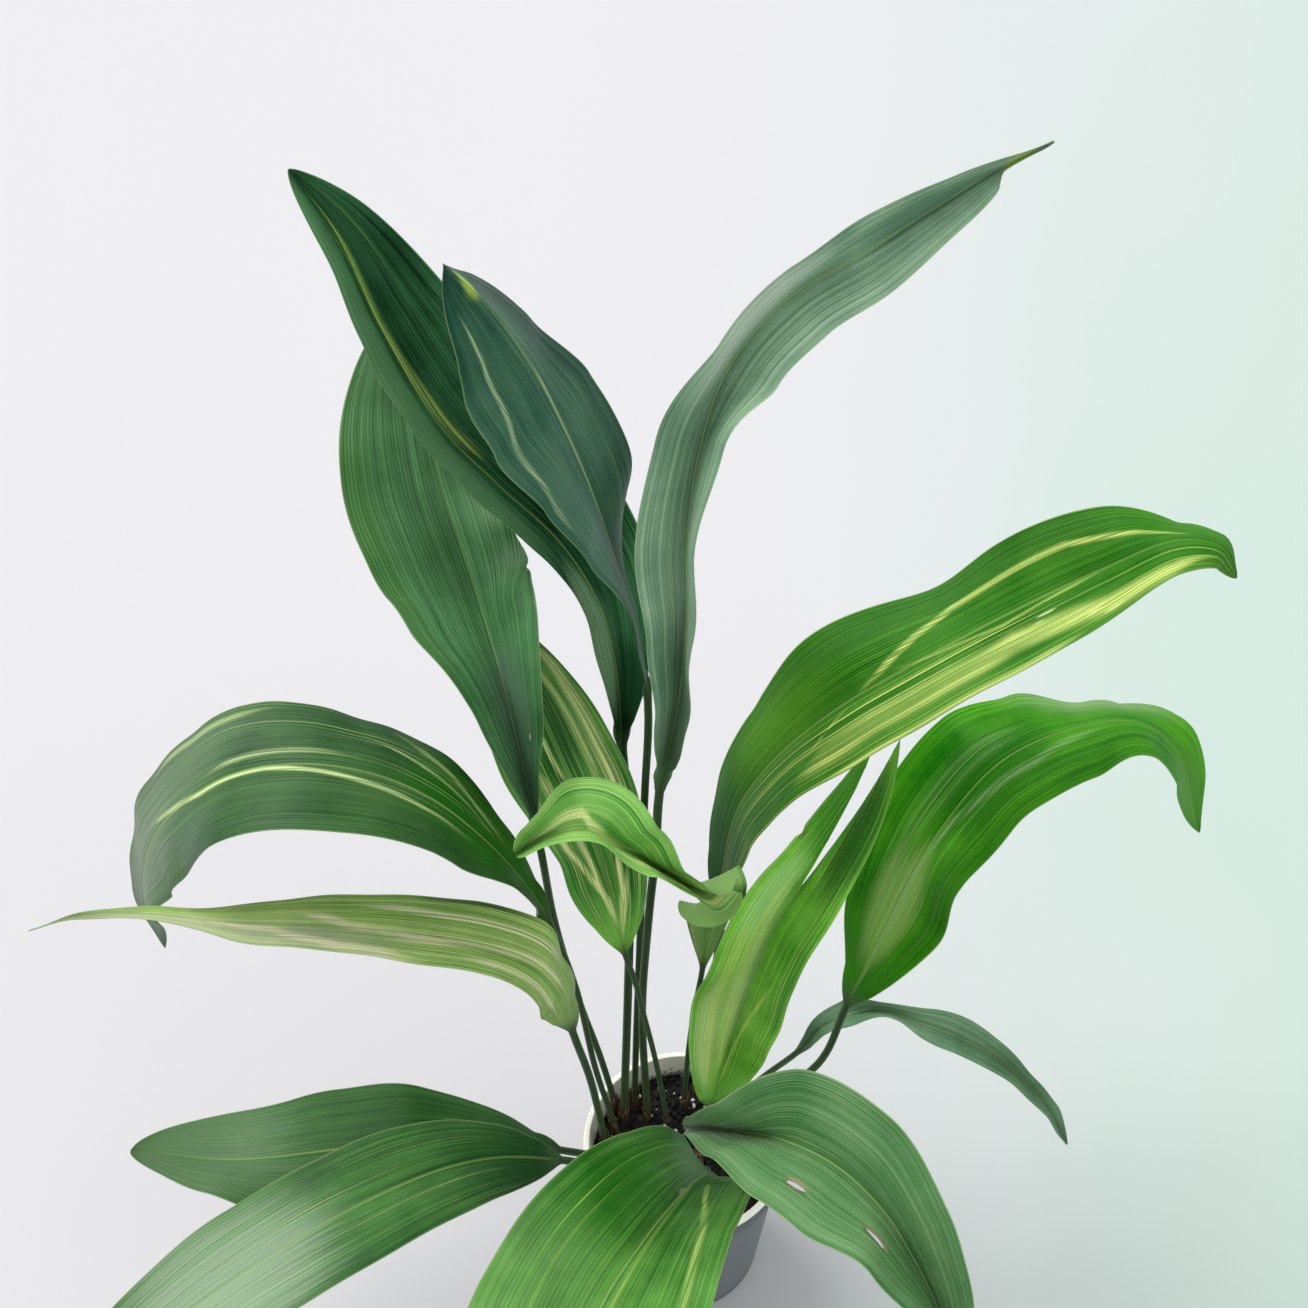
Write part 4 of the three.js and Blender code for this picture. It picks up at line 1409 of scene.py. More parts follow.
@dataclass(frozen=True)
class PaperyFinish:
    """Thin dry sheath, olive brown with darker veins and a bleached edge."""

    dark: Colour = Colour(44, 34, 24)
    light: Colour = Colour(92, 72, 50)
    edge: Colour = Colour(128, 108, 80)

    def material(self) -> bpy.types.Material:
        """Build the sheath finish on its own coordinates: place round, share of its height, shade.

        Returns:
            The finished material.
        """
        kit = NodeKit("papery_sheath")
        around, height, shade = kit.painted("sheath")
        veins = kit.noise(kit.join(around * 5.0, height * 1.4, shade * 9.0), 1.0, 3.0, 0.6)
        paint = kit.mix((veins - 0.3) * 1.8 + (shade - 0.5) * 0.3, self.dark, self.light)
        paint = kit.mix((height + (veins - 0.5) * 0.6).ramp(0.7, 1.05) * 0.8, paint, self.edge)
        return kit.finish(paint, 0.75, 0.35, veins, 0.0003)


@dataclass
class Sheaths:
    """Papery sheaths wrapped round the feet of the stalks, in millimetres and radians."""

    leaves: Sequence[Leaf]
    around: int = 30
    rows: int = 12
    thickness: float = 0.22
    buried: float = 5.0
    heights: tuple[float, float] = (9.0, 24.0)
    sweeps: tuple[float, float] = (4.6, 5.8)
    first_seed: int = 40

    def one(self, leaf: Leaf, seed: int) -> Skin:
        """Wrap one sheath round a stalk.

        It is a sheet wound a little less than once round the stalk's line, wider at its foot and ragged at its
        top, doubled at a small distance into a closed shell.

        Args:
            leaf: The leaf whose stalk it is on.
            seed: Seed of the random draw.

        Returns:
            The closed skin.
        """
        draw = np.random.default_rng(seed)
        tall, start, sweep, shade = (low + (high - low) * draw.random() for low, high in (
            self.heights, (0.0, TURN), self.sweeps, (0.0, 1.0)))
        w, h = np.meshgrid(np.linspace(0.0, 1.0, self.around), np.linspace(0.0, 1.0, self.rows))
        ragged = 1.0 - 0.35 * np.abs(2.0 * w - 1.0) ** 1.5 - 0.12 * np.sin(w * 17.0 + start) ** 2
        angle = start + sweep * w
        radius = leaf.stalk / 2.0 + 0.35 + 0.7 * (1.0 - h) + 0.5 * h ** 2 + 0.15 * np.sin(angle * 3.0)
        point, along = leaf.spine().at((-self.buried + (tall + self.buried) * h * ragged).ravel())
        side = unit(np.cross(along, [0.0, -1.0, 0.3]))
        outward = np.cos(angle).reshape(-1, 1) * side + np.sin(angle).reshape(-1, 1) * np.cross(along, side)
        inner = point + outward * radius.reshape(-1, 1)
        grid = np.arange(w.size).reshape(w.shape)
        ring = np.concatenate([grid, grid[:, ::-1] + grid.size], axis=1)
        mark = np.stack([angle, h, np.full_like(h, shade)], axis=-1).reshape(-1, 3)
        return Skin(np.concatenate([inner + outward * self.thickness, inner]), tube_faces(ring),
                    {"sheath": np.concatenate([mark, mark])})

    def build(self) -> bpy.types.Object:
        """Build all the sheaths as one piece.

        Returns:
            The piece.
        """
        skin = Skin.joined([self.one(leaf, self.first_seed + k) for k, leaf in enumerate(self.leaves)])
        piece = skin.to_object("dry_sheaths", PaperyFinish().material())
        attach(piece, BODY)
        return piece


# ---------------------------------------------------------------- studio


class Light(Enum):
    """The soft lights: the direction each comes from, its strength and its colour."""

    KEY = ((-0.6, 0.3, 1.0), 2.6, (1.0, 0.995, 0.98))
    FILL = ((0.9, -0.8, 0.9), 0.5, (0.97, 1.0, 1.0))

    def build(self, spread: float) -> None:
        """Add the light as a broad sun.

        Args:
            spread: How wide it is in the sky, in degrees.
        """
        direction, strength, colour = self.value
        data = bpy.data.lights.new(self.name.lower(), "SUN")
        data.angle, data.energy, data.color = math.radians(spread), strength, colour
        lamp = bpy.data.objects.new(self.name.lower(), data)
        lamp.rotation_euler = Vector(direction).to_track_quat("Z", "Y").to_euler()
        bpy.context.scene.collection.objects.link(lamp)


@dataclass
class Studio:
    """Pale floor, soft lights and the camera, in metres, millimetres of lens and degrees."""

    eye: Point = (-0.0199, -0.4691, 0.8785)
    pitch: float = 52.0
    focal_length: float = 36.1
    sensor: float = 36.0
    clip: tuple[float, float] = (0.01, 60.0)
    floor_half: float = 12.0
    floor_points: int = 60
    floor_colour: Colour = Colour(199, 198, 201)
    # Green tint: painted shadow and reflection of the leaves on the floor to the right.
    painted_leaf_shadow: Colour = Colour(180, 196, 189)
    surroundings: float = 0.75
    surroundings_tint: tuple[float, float, float, float] = (0.97, 0.985, 1.0, 1.0)
    light_spread: float = 45.0

    def floor_finish(self) -> bpy.types.Material:
        """Build the floor's pale paint, with a faint green tint to the right that is painted shadow and reflection of
        the leaves.

        The tint's soft edge fans out over the floor from a place in front of the pot: it lies where the share of
        the place across in the depth, which grows with the place away, passes from -0.05 to 0.5.

        Returns:
            The finished material.
        """
        kit = NodeKit("pale_floor")
        across, away, _ = kit.parts(kit.place())
        depth = (away * 0.79 + 0.91).at_least(0.35)
        sideways, far = across / depth, away / depth
        cloud = kit.noise(kit.join(sideways * 2.2, far * 1.6, 3.0), 1.0, 3.0, 0.5)
        # Where the painted green leaf shadow lies.
        mask = (sideways + far * -0.07 + (cloud - 0.5) * 0.6).ramp(-0.05, 0.5)
        paint = kit.mix(mask, self.floor_colour, self.painted_leaf_shadow)
        return kit.finish(kit.scaled(paint, 0.98 + cloud * 0.04), 0.8, 0.1)

    def floor(self) -> None:
        """Lay the floor: a flat square grid of quads."""
        x, y = np.meshgrid(*[np.linspace(-self.floor_half, self.floor_half, self.floor_points) / MM] * 2)
        ids = np.arange(x.size).reshape(x.shape)
        quads = np.stack([ids[:-1, :-1], ids[:-1, 1:], ids[1:, 1:], ids[1:, :-1]], axis=-1).reshape(-1, 4)
        points = np.stack([x, y, np.zeros_like(x)], axis=-1).reshape(-1, 3)
        piece = Skin(points, quads).to_object("floor", self.floor_finish())

    def camera(self) -> None:
        """Set up the camera as the picture was taken."""
        data = bpy.data.cameras.new("view")
        data.sensor_width, data.lens = self.sensor, self.focal_length
        data.clip_start, data.clip_end = self.clip
        eye = bpy.data.objects.new("view", data)
        eye.location = self.eye
        eye.rotation_euler = (math.radians(self.pitch), 0.0, 0.0)
        bpy.context.scene.collection.objects.link(eye)
        bpy.context.scene.camera = eye

    def light(self) -> None:
        """Hang the lights and set the pale surroundings."""
        world = bpy.data.worlds.new("surroundings")
        world.use_nodes = True
        background = world.node_tree.nodes["Background"]
        background.inputs["Color"].default_value = self.surroundings_tint
        background.inputs["Strength"].default_value = self.surroundings
        bpy.context.scene.world = world
        for light in Light:
            light.build(self.light_spread)

    def build(self) -> None:
        """Set up the whole studio."""
        bpy.context.scene.view_settings.view_transform = "Standard"
        self.camera()
        self.floor()
        self.light()


# ---------------------------------------------------------------- the sixteen leaves


LEAVES = (
    Leaf("leaf_tall_left", (-40, 24, 103), 5.2, 94, (0.9, 0.75), 1,
         stem=((-36, 34, 216), (-34, 42, 298), (-35, 52, 369)),
         blade=((-37, 58, 401), (-40, 70, 450), (-48, 82, 480), (-68, 96, 509), (-100, 106, 539), (-126, 113, 567),
             (-152, 126, 615), (-170, 135, 660), (-187, 140, 684)),
         fold=((0, 70, 60), (0.15, 62, 45), (0.3, 74, 20), (0.5, 76, 5), (0.8, 74, 15), (1, 60, 45)),
         edges=((0, 1, 1), (0.015, 0.75, 0.75), (0.04, 0.62, 0.7), (0.065, 0.7, 0.95), (0.22, 0.72, 1), (0.4, 1, 1)),
         finish=LeafFinish(Colour(4, 53, 22), Colour(68, 125, 80), Colour(14, 57, 30), under=Colour(39, 79, 51),
             stripe=Colour(190, 216, 110), streaks=0.1, gloss=0.06,
             stripes_and_painted_sheen=(Stripe(((0.5, 0.12), (0.64, 0.06), (0.77, 0), (0.88, 0.03), (0.99, -0.1)), 0.06),
                 Stripe(((0.72, -0.12), (0.85, -0.14), (0.96, -0.3)), 0.03, 0.4)),
             # Of these patches, the dark one on the right half is painted shadow of the fold.
             spots_and_painted_light=(Spot(-0.8, 0.7, 0.6, 0.4, Colour(109, 157, 107), 0.6), Spot(0.7, 0.42, 0.6, 0.16,
                 Colour(6, 47, 17), 0.85), Spot(-0.5, 0.2, 0.62, 0.14, Colour(156, 195, 151), 0.85)))),
    Leaf("leaf_tall_middle", (-33, 33, 103), 4.2, 82, (1.2, 0.7), 2,
         stem=((-31, 37, 182), (-28, 40, 274), (-25, 40, 381)),
         blade=((-23, 40, 451), (-29, 38, 500), (-42, 34, 557), (-54, 24, 603), (-68, 11, 647), (-80, -6, 678),
             (-94, -20, 701)),
         fold=((0, 84, -84), (0.25, 86, -84), (0.45, 72, -50), (0.6, 58, -60), (0.72, 41, -76), (0.85, 24, -86),
             (1, 18, -88)),
         finish=LeafFinish(Colour(22, 72, 54), Colour(79, 119, 92), Colour(57, 90, 73), under=Colour(39, 80, 64),
             stripe=Colour(176, 196, 150), streaks=0.1, gloss=0.06,
             stripes_and_painted_sheen=(Stripe(((0.5, -0.86), (0.58, -0.84), (0.68, -0.74), (0.78, -0.61), (0.86, -0.56),
                 (0.97, -0.6))), Stripe(((0.12, 0), (0.4, 0), (0.78, 0.02)), 0.022, 0.7)),
             # Of these patches, the grey-green one in the middle band is painted sheen, and the dark one on the right
             # half, turned away from the lights, is painted shade.
             spots_and_painted_light=(Spot(0.3, 0.945, 0.5, 0.03, Colour(168, 196, 67)), Spot(-0.5, 0.4, 0.5, 0.3, Colour(88, 123, 104),
                 0.4), Spot(0.8, 0.8, 0.5, 0.24, Colour(13, 59, 43), 0.7)))),
    Leaf("leaf_broad_left", (-44, 30, 103), 4.2, 106, (1.25, 0.85), 3,
         stem=((-54, 31, 162), (-65, 30, 218), (-76, 26, 294)),
         blade=((-81, 15, 380), (-94, 34, 463), (-112, 84, 488), (-132, 126, 529), (-145, 168, 565),
             (-153, 205, 594)),
         fold=((0, 82, 78), (0.12, 70, 70), (0.25, 57, 60), (0.38, 33, 48), (0.54, 28, 16), (0.68, 20, -30),
             (0.8, 16, -50), (1, 20, -30)),
         edges=((0.29, 1, 1), (0.39, 1, 0.93), (0.46, 1, 0.69), (0.54, 1, 0.57), (0.72, 1, 0.6), (0.85, 1, 1)),
         finish=LeafFinish(Colour(40, 89, 43), Colour(91, 142, 91), Colour(84, 112, 91), under=Colour(49, 92, 51),
             midrib_strength=0.2,
             # Of these patches, the yellow-green one on the left margin is painted highlight, the dark one near the
             # top is painted shadow of leaf_tall_left, and the grey one at the base is painted sheen.
             spots_and_painted_light=(Spot(0.59, 0.21, 0.045, 0.006, Colour(209, 209, 209)), Spot(-0.95, 0.6, 0.3, 0.35,
                 Colour(75, 125, 58), 0.6), Spot(-0.1, 0.9, 0.6, 0.12, Colour(52, 82, 62), 0.7),
                 Spot(0.1, 0.22, 0.7, 0.14, Colour(105, 131, 112), 0.55), Spot(0.9, 0.5, 0.3, 0.12,
                 Colour(22, 56, 25), 0.7)))),
    Leaf("leaf_tall_right", (-24, 25, 103), 4.8, 58, (0.7, 0.8), 4,
         stem=((-27, 21, 224), (-23, 20, 307), (-19, 19, 364)),
         blade=((-17, 18, 409), (-8, 17, 470), (-5, 18, 518), (-5, 26, 554), (0, 46, 589), (13, 70, 618),
             (40, 90, 643), (77, 111, 657), (110, 127, 672), (138, 140, 684), (164, 150, 693)),
         fold=((0, 80, 50), (0.15, 59, 72), (0.25, 46, 84), (0.35, 36, 84), (0.45, 48, 70), (0.55, 74, 42),
             (0.65, 69, 32), (0.75, 52, 26), (0.87, 62, 32), (1, 84, 84)),
         edges=((0, 1, 1), (0.015, 0.72, 0.72), (0.04, 0.6, 0.6), (0.065, 0.92, 0.92), (0.09, 1, 1), (0.905, 1, 1.05),
             (0.935, 1, 0.3)),
         finish=LeafFinish(Colour(84, 124, 98), Colour(160, 194, 157), Colour(81, 115, 83),
             under=Colour(99, 126, 101), stripe=Colour(176, 190, 160), streaks=0.2,
             stripes_and_painted_sheen=(Stripe(((0.3, 0.2), (0.45, 0.25), (0.6, 0.1), (0.75, 0.05)), 0.05, 0.35), Stripe(((0.5, -0.3),
                 (0.66, -0.35), (0.9, -0.3)), 0.03, 0.3), Stripe(((0.9, -0.6), (0.96, -0.5), (1, -0.3)), 0.25, 0.5)),
             # Of these patches, the dark one over the midrib near the tip is painted crease shade, and the two
             # whitish ones are painted sheen.
             spots_and_painted_light=(Spot(0.1, 0.86, 0.14, 0.12, Colour(59, 98, 68), 0.7), Spot(0.4, 0.12, 0.8, 0.12,
                 Colour(78, 108, 78), 0.4), Spot(-0.6, 0.6, 0.5, 0.12, Colour(214, 221, 210), 0.6),
                 Spot(0, 0.955, 1.6, 0.025, Colour(172, 205, 81), 0.7), Spot(-0.4, 0.82, 0.5, 0.1,
                 Colour(66, 115, 90), 0.7), Spot(0.3, 0.3, 0.8, 0.12, Colour(190, 214, 186), 0.5)))),
    Leaf("leaf_inner_striped", (-11, 22, 103), 3.4, 76, (1, 0.8), 5,
         stem=((-19, 15, 182), (-26, 10, 234), (-31, 7, 270)),
         blade=((-36, 8, 291), (-44, 16, 336), (-56, 32, 374), (-72, 50, 408), (-88, 66, 443), (-104, 82, 477)),
         fold=((0, 45, 45), (0.12, 0, 40), (0.3, -40, 36), (0.6, -30, 38), (1, -20, 42)),
         finish=LeafFinish(Colour(16, 94, 10), Colour(120, 186, 85), Colour(139, 211, 77),
             stripe=Colour(240, 246, 168), streaks=0.5, streak_from=-0.7, streak_to=0.95, grain=1.6,
             stripes_and_painted_sheen=(Stripe(((0.3, 0.72), (0.55, 0.71), (0.66, 0.75), (0.76, 0.77), (0.83, 0.82), (0.93, 0.78)),
                 0.12), Stripe(((0.3, 0.3), (0.45, 0.42), (0.6, 0.5), (0.75, 0.5), (0.88, 0.4)), 0.07, 0.8),
                 Stripe(((0.1, -0.1), (0.25, -0.2), (0.45, -0.35), (0.6, -0.4)), 0.08, 0.9), Stripe(((0.05, 0),
                 (0.1, 0.01), (0.19, -0.12), (0.27, -0.4), (0.34, -0.6), (0.5, -0.7)), 0.1), Stripe(((0.03, 0.05),
                 (0.22, 0.37), (0.35, 0.4)), 0.09), Stripe(((0.04, 0.2), (0.19, 0.45), (0.3, 0.56)), 0.07),
                 Stripe(((0.5, -0.04), (0.6, -0.12), (0.7, -0.13)))),
             spots_and_painted_light=(Spot(0.2, 0.72, 0.34, 0.2, Colour(10, 83, 7), 0.75),))),
    Leaf("leaf_inner_twisted", (0, 33, 103), 3.4, 56, (0.9, 0.4), 6,
         stem=((2, 33, 167), (5, 33, 208)),
         blade=((9, 32, 249), (10, 30, 286), (10, 23, 320), (8, 9, 347), (-3, -8, 368), (-17, -21, 393),
             (-34, -32, 418), (-52, -38, 438), (-68, -43, 439), (-83, -45, 430)),
         fold=((0, 10, 10), (0.24, -12, -12), (0.3, 40, 0), (0.36, 84, 20), (0.42, 82, 64), (0.5, 78, 84),
             (0.6, 82, 85), (0.7, 82, 81), (0.79, 82, 52), (0.87, 76, 0), (0.95, 80, 66), (1, 84, 84)),
         finish=LeafFinish(Colour(58, 141, 44), Colour(167, 220, 116), Colour(155, 204, 107),
             under=Colour(135, 179, 96), stripe=Colour(246, 246, 170), streaks=0.5, grain=1.5,
             stripes_and_painted_sheen=(Stripe(((0.72, 0.5), (0.737, 0.23), (0.767, 0.04), (0.82, -0.02), (0.857, 0.1), (0.872, 0.31),
                 (0.9, 0.32), (0.95, 0.27), (1, 0.04)), 0.13), Stripe(((0.853, 0.08), (0.887, 0.02), (0.931, -0.03),
                 (0.99, -0.02)), 0.12, 0.5), Stripe(((0.3, -0.8), (0.5, -0.75), (0.7, -0.6), (0.85, -0.5)),
                 0.16, 0.8), Stripe(((0.35, 0.8), (0.5, 0.75), (0.7, 0.8)), 0.12, 0.7), Stripe(((0, -0.8),
                 (0.2, -0.7), (0.3, -0.7)), 0.12, 0.6)))),
    Leaf("leaf_arching_left", (-44, 15, 103), 3.8, 84, (0.9, 0.9), 7,
         stem=((-56, 12, 177), (-65, 8, 262)),
         blade=((-77, 2, 326), (-89, -3, 365), (-106, -8, 401), (-128, -11, 431), (-155, -13, 450), (-187, -13, 456),
             (-223, -10, 446), (-258, -4, 416), (-281, 2, 382), (-296, 8, 333), (-296, 12, 292)),
         fold=((0, 82, -60), (0.15, 77, -55), (0.25, 56, -51), (0.4, 45, -50), (0.55, 47, -42), (0.65, 46, -52),
             (0.74, 50, -60), (0.84, 80, -75), (1, 60, -80)),
         finish=LeafFinish(Colour(8, 60, 19), Colour(67, 109, 55), Colour(43, 89, 28), stripe=Colour(200, 222, 150),
             streaks=0.3, streak_from=-0.2, streak_to=0.95,
             stripes_and_painted_sheen=(Stripe(((0.2, -0.35), (0.3, -0.28), (0.4, -0.15), (0.5, -0.03), (0.6, -0.06), (0.7, 0.1),
                 (0.75, 0.2)), 0.05), Stripe(((0.38, 0.2), (0.44, 0.22), (0.53, 0.2), (0.62, 0.12)), 0.045, 0.75),
                 Stripe(((0.5, 0.9), (0.57, 0.83), (0.66, 0.88), (0.74, 0.9)), 0.06, 0.75), Stripe(((0.12, 0.3),
                 (0.22, 0.49), (0.32, 0.81), (0.37, 0.95)), 0.06, 0.6), Stripe(((0.15, 0.2), (0.24, 0.37),
                 (0.32, 0.5), (0.4, 0.62)), 0.035, 0.6)),
             # The two grey-green patches at t 0.68 and 0.86 are painted sheen.
             spots_and_painted_light=(Spot(0.5, 0.68, 0.8, 0.16, Colour(110, 135, 103), 0.6), Spot(-0.5, 0.66, 0.4, 0.1,
                 Colour(86, 113, 84), 0.5), Spot(0.2, 0.16, 1.1, 0.2, Colour(32, 116, 8), 0.7),
                 Spot(0, 0.86, 1.2, 0.2, Colour(135, 152, 128), 0.6)))),
    Leaf("leaf_narrow_left", (-51, 5, 103), 4.6, 50, (0.8, 1.5), 8,
         stem=((-58, -6, 192),),
         blade=((-66, -18, 258), (-69, -29, 308), (-83, -38, 344), (-107, -43, 363), (-144, -46, 375),
             (-183, -47, 381), (-226, -47, 383), (-264, -47, 389), (-298, -46, 387), (-327, -45, 375)),
         fold=((0, 30, -70), (0.12, 25, -62), (0.25, 44, -34), (0.35, 56, -36), (0.65, 54, -44), (0.8, 68, -62),
             (1, 60, -70)),
         finish=LeafFinish(Colour(91, 143, 63), Colour(181, 215, 113), Colour(136, 167, 95),
             stripe=Colour(246, 240, 196), streaks=0.55, margin=0.7, grain=1.7,
             stripes_and_painted_sheen=(Stripe(((0.36, -0.4), (0.46, -0.1), (0.53, -0.01), (0.562, 0.2), (0.64, 0.5)), 0.16),
                 Stripe(((0.42, -0.9), (0.54, -0.8), (0.605, -0.57), (0.641, -0.3), (0.78, 0.1)), 0.18),
                 Stripe(((0.12, 0.1), (0.25, 0), (0.4, -0.2), (0.5, -0.4)), 0.16, 0.9), Stripe(((0.14, 0.6),
                 (0.25, 0.5), (0.4, 0.5), (0.55, 0.7)), 0.12, 0.8), Stripe(((0.1, -0.5), (0.25, -0.6), (0.4, -0.65)),
                 0.12, 0.8)),
             # The dark patch on the right edge is painted shade.
             spots_and_painted_light=(Spot(0.98, 0.36, 0.16, 0.1, Colour(40, 85, 35), 0.9), Spot(-0.6, 0.74, 1, 0.3,
                 Colour(202, 204, 173), 0.6), Spot(0.6, 0.45, 0.5, 0.2, Colour(96, 152, 42), 0.5)))),
    Leaf("leaf_low_left", (-38, -6, 103), 4.4, 80, (0.8, 0.6), 9,
         stem=((-58, -19, 132),),
         blade=((-77, -30, 156), (-109, -42, 186), (-153, -50, 201), (-205, -52, 192), (-265, -52, 182),
             (-321, -50, 189)),
         fold=((0, 40, -50), (0.2, 33, -42), (0.4, 33, -33), (0.55, 33, -33), (0.8, 58, -36), (1, 65, -38)),
         finish=LeafFinish(Colour(5, 68, 5), Colour(53, 104, 36), Colour(20, 80, 13), under=Colour(57, 82, 50),
             # The grey-green patch towards the tip is painted sheen.
             spots_and_painted_light=(Spot(0, 0.84, 1.6, 0.24, Colour(105, 134, 95), 0.6), Spot(0, 0.42, 1.2, 0.16, Colour(8, 68, 7),
                 0.5)))),
    Leaf("leaf_front_left", (-24, -16, 103), 4.4, 76, (0.8, 0.95), 10,
         stem=((-50, -32, 140),),
         blade=((-74, -48, 175), (-107, -62, 201), (-137, -78, 215), (-176, -100, 219), (-215, -122, 214),
             (-254, -150, 208), (-300, -182, 190), (-338, -212, 160)),
         fold=((0, 20, -30), (0.2, 38, -28), (0.5, 40, -32), (0.7, 40, -22), (1, 42, -20)),
         finish=LeafFinish(Colour(10, 67, 12), Colour(75, 127, 60), Colour(12, 72, 12), streaks=0.15,
             # The grey-green patch towards the tip is painted sheen.
             spots_and_painted_light=(Spot(-0.1, 0.62, 1.3, 0.22, Colour(156, 178, 147), 0.7), Spot(0, 0.1, 1.2, 0.16,
                 Colour(7, 72, 10), 0.6)))),
    Leaf("leaf_front_middle", (8, 0, 103), 4.8, 116, (0.65, 0.7), 11,
         stem=((9, -26, 130),),
         blade=((11, -50, 166), (-4, -92, 217), (-24, -128, 237), (-45, -168, 249), (-68, -232, 250),
             (-92, -290, 226), (-114.7, -339.3, 175.6)),
         fold=((0, 60, 20), (0.1, 50, 6), (0.2, 58, 2), (0.3, 54, 4), (0.45, 38, -10), (1, 34, -10)),
         finish=LeafFinish(Colour(11, 82, 6), Colour(100, 160, 67), Colour(79, 117, 74), midrib_strength=0.6,
             stripe=Colour(196, 226, 120), streaks=0.15, streak_from=-0.3, streak_to=0.9, grain=0.7,
             stripes_and_painted_sheen=(Stripe(((0.14, -0.25), (0.22, -0.42), (0.3, -0.66), (0.42, -0.76), (0.6, -0.7)), 0.045, 0.7),
                 Stripe(((0.12, 0), (0.2, -0.06), (0.4, -0.1), (0.8, -0.06)), 0.03, 0.6)),
             spots_and_painted_light=(Spot(0.03, 0.185, 0.035, 0.012, Colour(179, 202, 159)), Spot(0.55, 0.28, 0.5, 0.12,
                 Colour(30, 106, 15), 0.6), Spot(0.5, 0.5, 0.8, 0.16, Colour(129, 175, 102), 0.25),
                 Spot(-0.2, 0.16, 0.5, 0.12, Colour(14, 81, 10), 0.6)))),
    Leaf("leaf_front_right", (19, 9, 103), 4.8, 88, (1.4, 1.2), 12,
         stem=((12, -8, 160),),
         blade=((-1, -54, 218), (18, -86, 267), (44, -110, 296), (68, -128, 302), (87, -145, 295), (102, -160, 277),
             (114, -172, 254), (125, -184, 214)),
         fold=((0, 70, 72), (0.06, 72, 74), (0.15, 82, 82), (0.25, 84, 80), (0.35, 76, 66), (0.45, 38, 48),
             (0.55, 44, 42), (0.65, 56, 60), (0.8, 62, 74), (1, 60, 76)),
         holes=((25, 0.49, 1.6, 5.2), (21, 0.635, 1.6, 5.2)),
         finish=LeafFinish(Colour(66, 119, 63), Colour(121, 160, 109), Colour(127, 148, 123), streaks=0.1, grain=0.8,
             # The pale patch at the base is painted light, brightening the steeply folded base that the lights leave
             # in shade.
             spots_and_painted_light=(Spot(0.575, 0.49, 0.1, 0.028, Colour(143, 131, 101)), Spot(0.5, 0.635, 0.1, 0.028,
                 Colour(143, 131, 101)), Spot(0, 0.14, 1.2, 0.2, Colour(185, 204, 180), 0.85)))),
    Leaf("leaf_split_right", (14, 18, 103), 4.6, 62, (0.7, 0.7), 13,
         stem=((15, 16, 116),),
         blade=((16, 14, 132), (28, 8, 232), (46, 10, 310), (69, 20, 355), (91, 36, 392), (109, 54, 429)),
         fold=((0, 50, 15), (0.15, 40, 12), (0.35, 26, 30), (0.5, 44, 38), (0.8, 46, 30), (1, 46, 30)),
         edges=((0.75, 1, 1), (0.76, 0.9, 1), (0.775, 1, 1)),
         split=(0.66, 0.22),
         finish=LeafFinish(Colour(53, 145, 12), Colour(154, 225, 84), Colour(133, 204, 87),
             stripe=Colour(226, 244, 130), streaks=0.3, grain=2,
             # The two wide stripes on the left half are painted sheen streaks; the narrow first one is a real pale
             # line.
             stripes_and_painted_sheen=(Stripe(((0.08, 0.1), (0.26, 0.2), (0.37, 0.34), (0.5, 0.6)), 0.05, 0.7), Stripe(((0.06, -0.3),
                 (0.2, -0.55), (0.4, -0.6), (0.6, -0.6)), 0.3, 0.5), Stripe(((0.12, -0.1), (0.35, -0.2),
                 (0.55, -0.25), (0.7, -0.4)), 0.2, 0.5)),
             # Of these patches, the three pale ones on the left half are painted sheen.
             spots_and_painted_light=(Spot(-0.62, 0.26, 0.3, 0.2, Colour(209, 225, 172), 0.45), Spot(-0.15, 0.4, 0.3, 0.24,
                 Colour(209, 225, 172), 0.4), Spot(-0.5, 0.64, 0.4, 0.12, Colour(177, 224, 145), 0.6),
                 Spot(-0.5, 0.86, 0.9, 0.14, Colour(38, 119, 22), 0.7), Spot(0.6, 0.8, 0.5, 0.14, Colour(26, 96, 23),
                 0.8), Spot(-0.85, 0.76, 0.1, 0.012, Colour(107, 110, 50), 0.7), Spot(0.85, 0.5, 0.2, 0.16,
                 Colour(84, 152, 55), 0.5)))),
    Leaf("leaf_long_right", (8, 45, 103), 4.8, 80, (0.9, 0.7), 14,
         stem=((11, 46, 148), (17, 47, 219)),
         blade=((20, 46, 272), (19, 42, 324), (26, 36, 381), (46, 30, 425), (74, 28, 458), (101, 28, 480),
             (144, 30, 510), (185, 29, 538), (214, 22, 559), (232, 18, 558), (242, 16, 543)),
         fold=((0, -45, 60), (0.2, -60, 62), (0.35, -40, 54), (0.5, -14, 47), (0.65, -42, 48), (0.83, -4, 44),
             (0.92, -68, 45), (1, -78, 50)),
         finish=LeafFinish(Colour(18, 97, 3), Colour(77, 142, 42), Colour(4, 76, 0), under=Colour(10, 84, 2),
             stripe=Colour(216, 232, 128), streaks=0.5, streak_from=0.1, streak_to=0.98, gloss=0.06, grain=1.4,
             stripes_and_painted_sheen=(Stripe(((0.5, 0.01), (0.544, -0.11), (0.603, -0.34), (0.655, -0.5), (0.72, -0.53), (0.8, -0.56),
                 (0.87, -0.41), (0.94, -0.2)), 0.06), Stripe(((0.39, 0.8), (0.445, 0.65), (0.52, 0.58), (0.6, 0.6),
                 (0.66, 0.6), (0.706, 0.52), (0.784, 0.63), (0.822, 0.73), (0.9, 0.8), (0.96, 0.5)), 0.19),
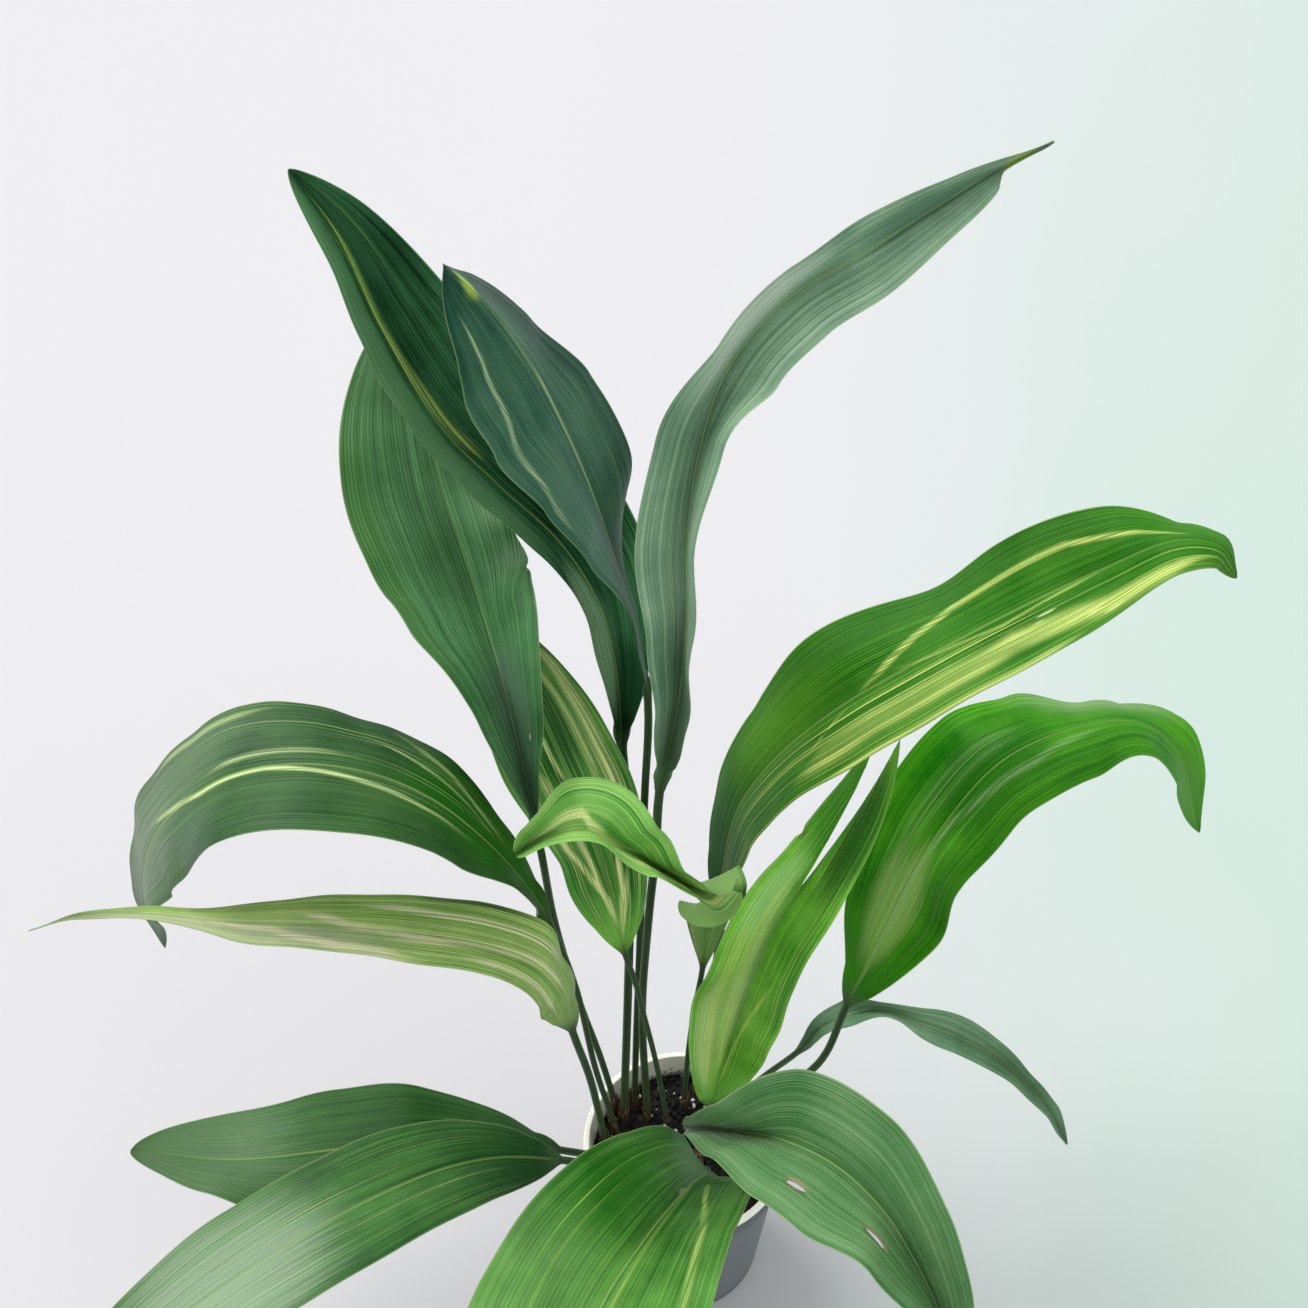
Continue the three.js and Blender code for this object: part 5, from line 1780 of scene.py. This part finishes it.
                 Stripe(((0.42, 0.97), (0.57, 0.94), (0.71, 0.95), (0.8, 0.93)), 0.05, 0.9), Stripe(((0.55, -0.08),
                 (0.634, 0.06), (0.7, 0.16), (0.764, 0.09), (0.85, 0)), 0.035, 0.6), Stripe(((0.42, 0.5),
                 (0.467, 0.22), (0.51, 0.03)), 0.03, 0.4)),
             spots_and_painted_light=(Spot(0.33, 0.75, 0.02, 0.012, Colour(218, 225, 174), 0.9), Spot(0.42, 0.738, 0.015, 0.01,
                 Colour(218, 225, 174), 0.8), Spot(0.72, 0.8, 0.03, 0.012, Colour(209, 225, 169), 0.8),
                 Spot(0.84, 0.825, 0.03, 0.016, Colour(209, 225, 169), 0.7), Spot(-0.75, 0.62, 0.3, 0.3,
                 Colour(62, 115, 45), 0.5), Spot(-0.4, 0.38, 0.6, 0.12, Colour(98, 155, 41), 0.5),
                 Spot(0, 0.12, 1.6, 0.2, Colour(4, 76, 0), 0.8)))),
    Leaf("leaf_arching_right", (31, 7, 103), 4.6, 88, (0.8, 0.85), 15,
         stem=((54, 10, 146), (83, 16, 179)),
         blade=((96, 22, 227), (117, 34, 295), (140, 46, 353), (169, 54, 397), (203, 55, 419), (232, 50, 428),
             (255, 45, 413), (281, 40, 356)),
         fold=((0, -40, 30), (0.2, -18, 24), (0.35, -22, 52), (0.5, -26, 48), (0.58, -46, 46), (0.67, -72, 47),
             (0.76, -77, 66), (0.86, -58, 68), (1, -58, 65)),
         finish=LeafFinish(Colour(17, 105, 2), Colour(81, 162, 24), Colour(52, 130, 17), under=Colour(61, 112, 46),
             stripe=Colour(156, 188, 128), streaks=0.15, gloss=0.06,
             # Both stripes, the pale band along the midrib and the broad pale band beside it, are painted sheen.
             stripes_and_painted_sheen=(Stripe(((0.02, 0.1), (0.18, 0.03), (0.3, 0.04), (0.4, 0.12), (0.5, 0.3), (0.58, 0.34),
                 (0.65, 0.2), (0.72, 0.1)), 0.09, 0.5), Stripe(((0.05, -0.3), (0.2, -0.4), (0.45, -0.3), (0.6, -0.3)),
                 0.2, 0.25)),
             # Of these patches, the pale one near the base and the pale one on the left edge are painted sheen.
             spots_and_painted_light=(Spot(0, 0.22, 0.5, 0.14, Colour(172, 207, 111), 0.6), Spot(0.3, 0.9, 1, 0.1, Colour(91, 141, 55),
                 0.6), Spot(0.1, 0.5, 0.7, 0.12, Colour(14, 97, 0), 0.7), Spot(-0.9, 0.7, 0.5, 0.14,
                 Colour(161, 184, 136), 0.4)))),
    Leaf("leaf_small_right", (27, 25, 103), 3.8, 32, (0.8, 0.9), 16,
         stem=((46, 26, 142),),
         blade=((71, 33, 164), (86, 36, 186), (100, 38, 193), (121, 39, 200), (147, 38, 191), (173, 36, 179),
             (205, 33, 154), (238, 30, 111), (261, 28, 67)),
         fold=((0, 60, 40), (0.15, 0, 58), (0.25, 70, 74), (0.4, 50, 38), (0.65, 66, 62), (1, 40, 70)),
         finish=LeafFinish(Colour(68, 121, 80), Colour(158, 196, 155), Colour(101, 141, 104),
             stripe=Colour(200, 226, 190),
             stripes_and_painted_sheen=(Stripe(((0.1, -0.1), (0.5, -0.15), (0.95, 0)), 0.12, 0.7),))),
)


def main() -> None:
    """Build the studio, the pot, the compost, the leaves and the sheaths, and log each piece's face count."""
    logging.basicConfig(level=logging.INFO, format="%(message)s")
    Studio().build()
    pot = Pot()
    pieces = [pot.build(), *Compost(pot).build(), *(leaf.build() for leaf in LEAVES), Sheaths(LEAVES).build()]
    for piece in pieces:
        LOG.info("%s: %d faces", piece.name, len(piece.data.polygons))


if __name__ == "__main__":
    main()
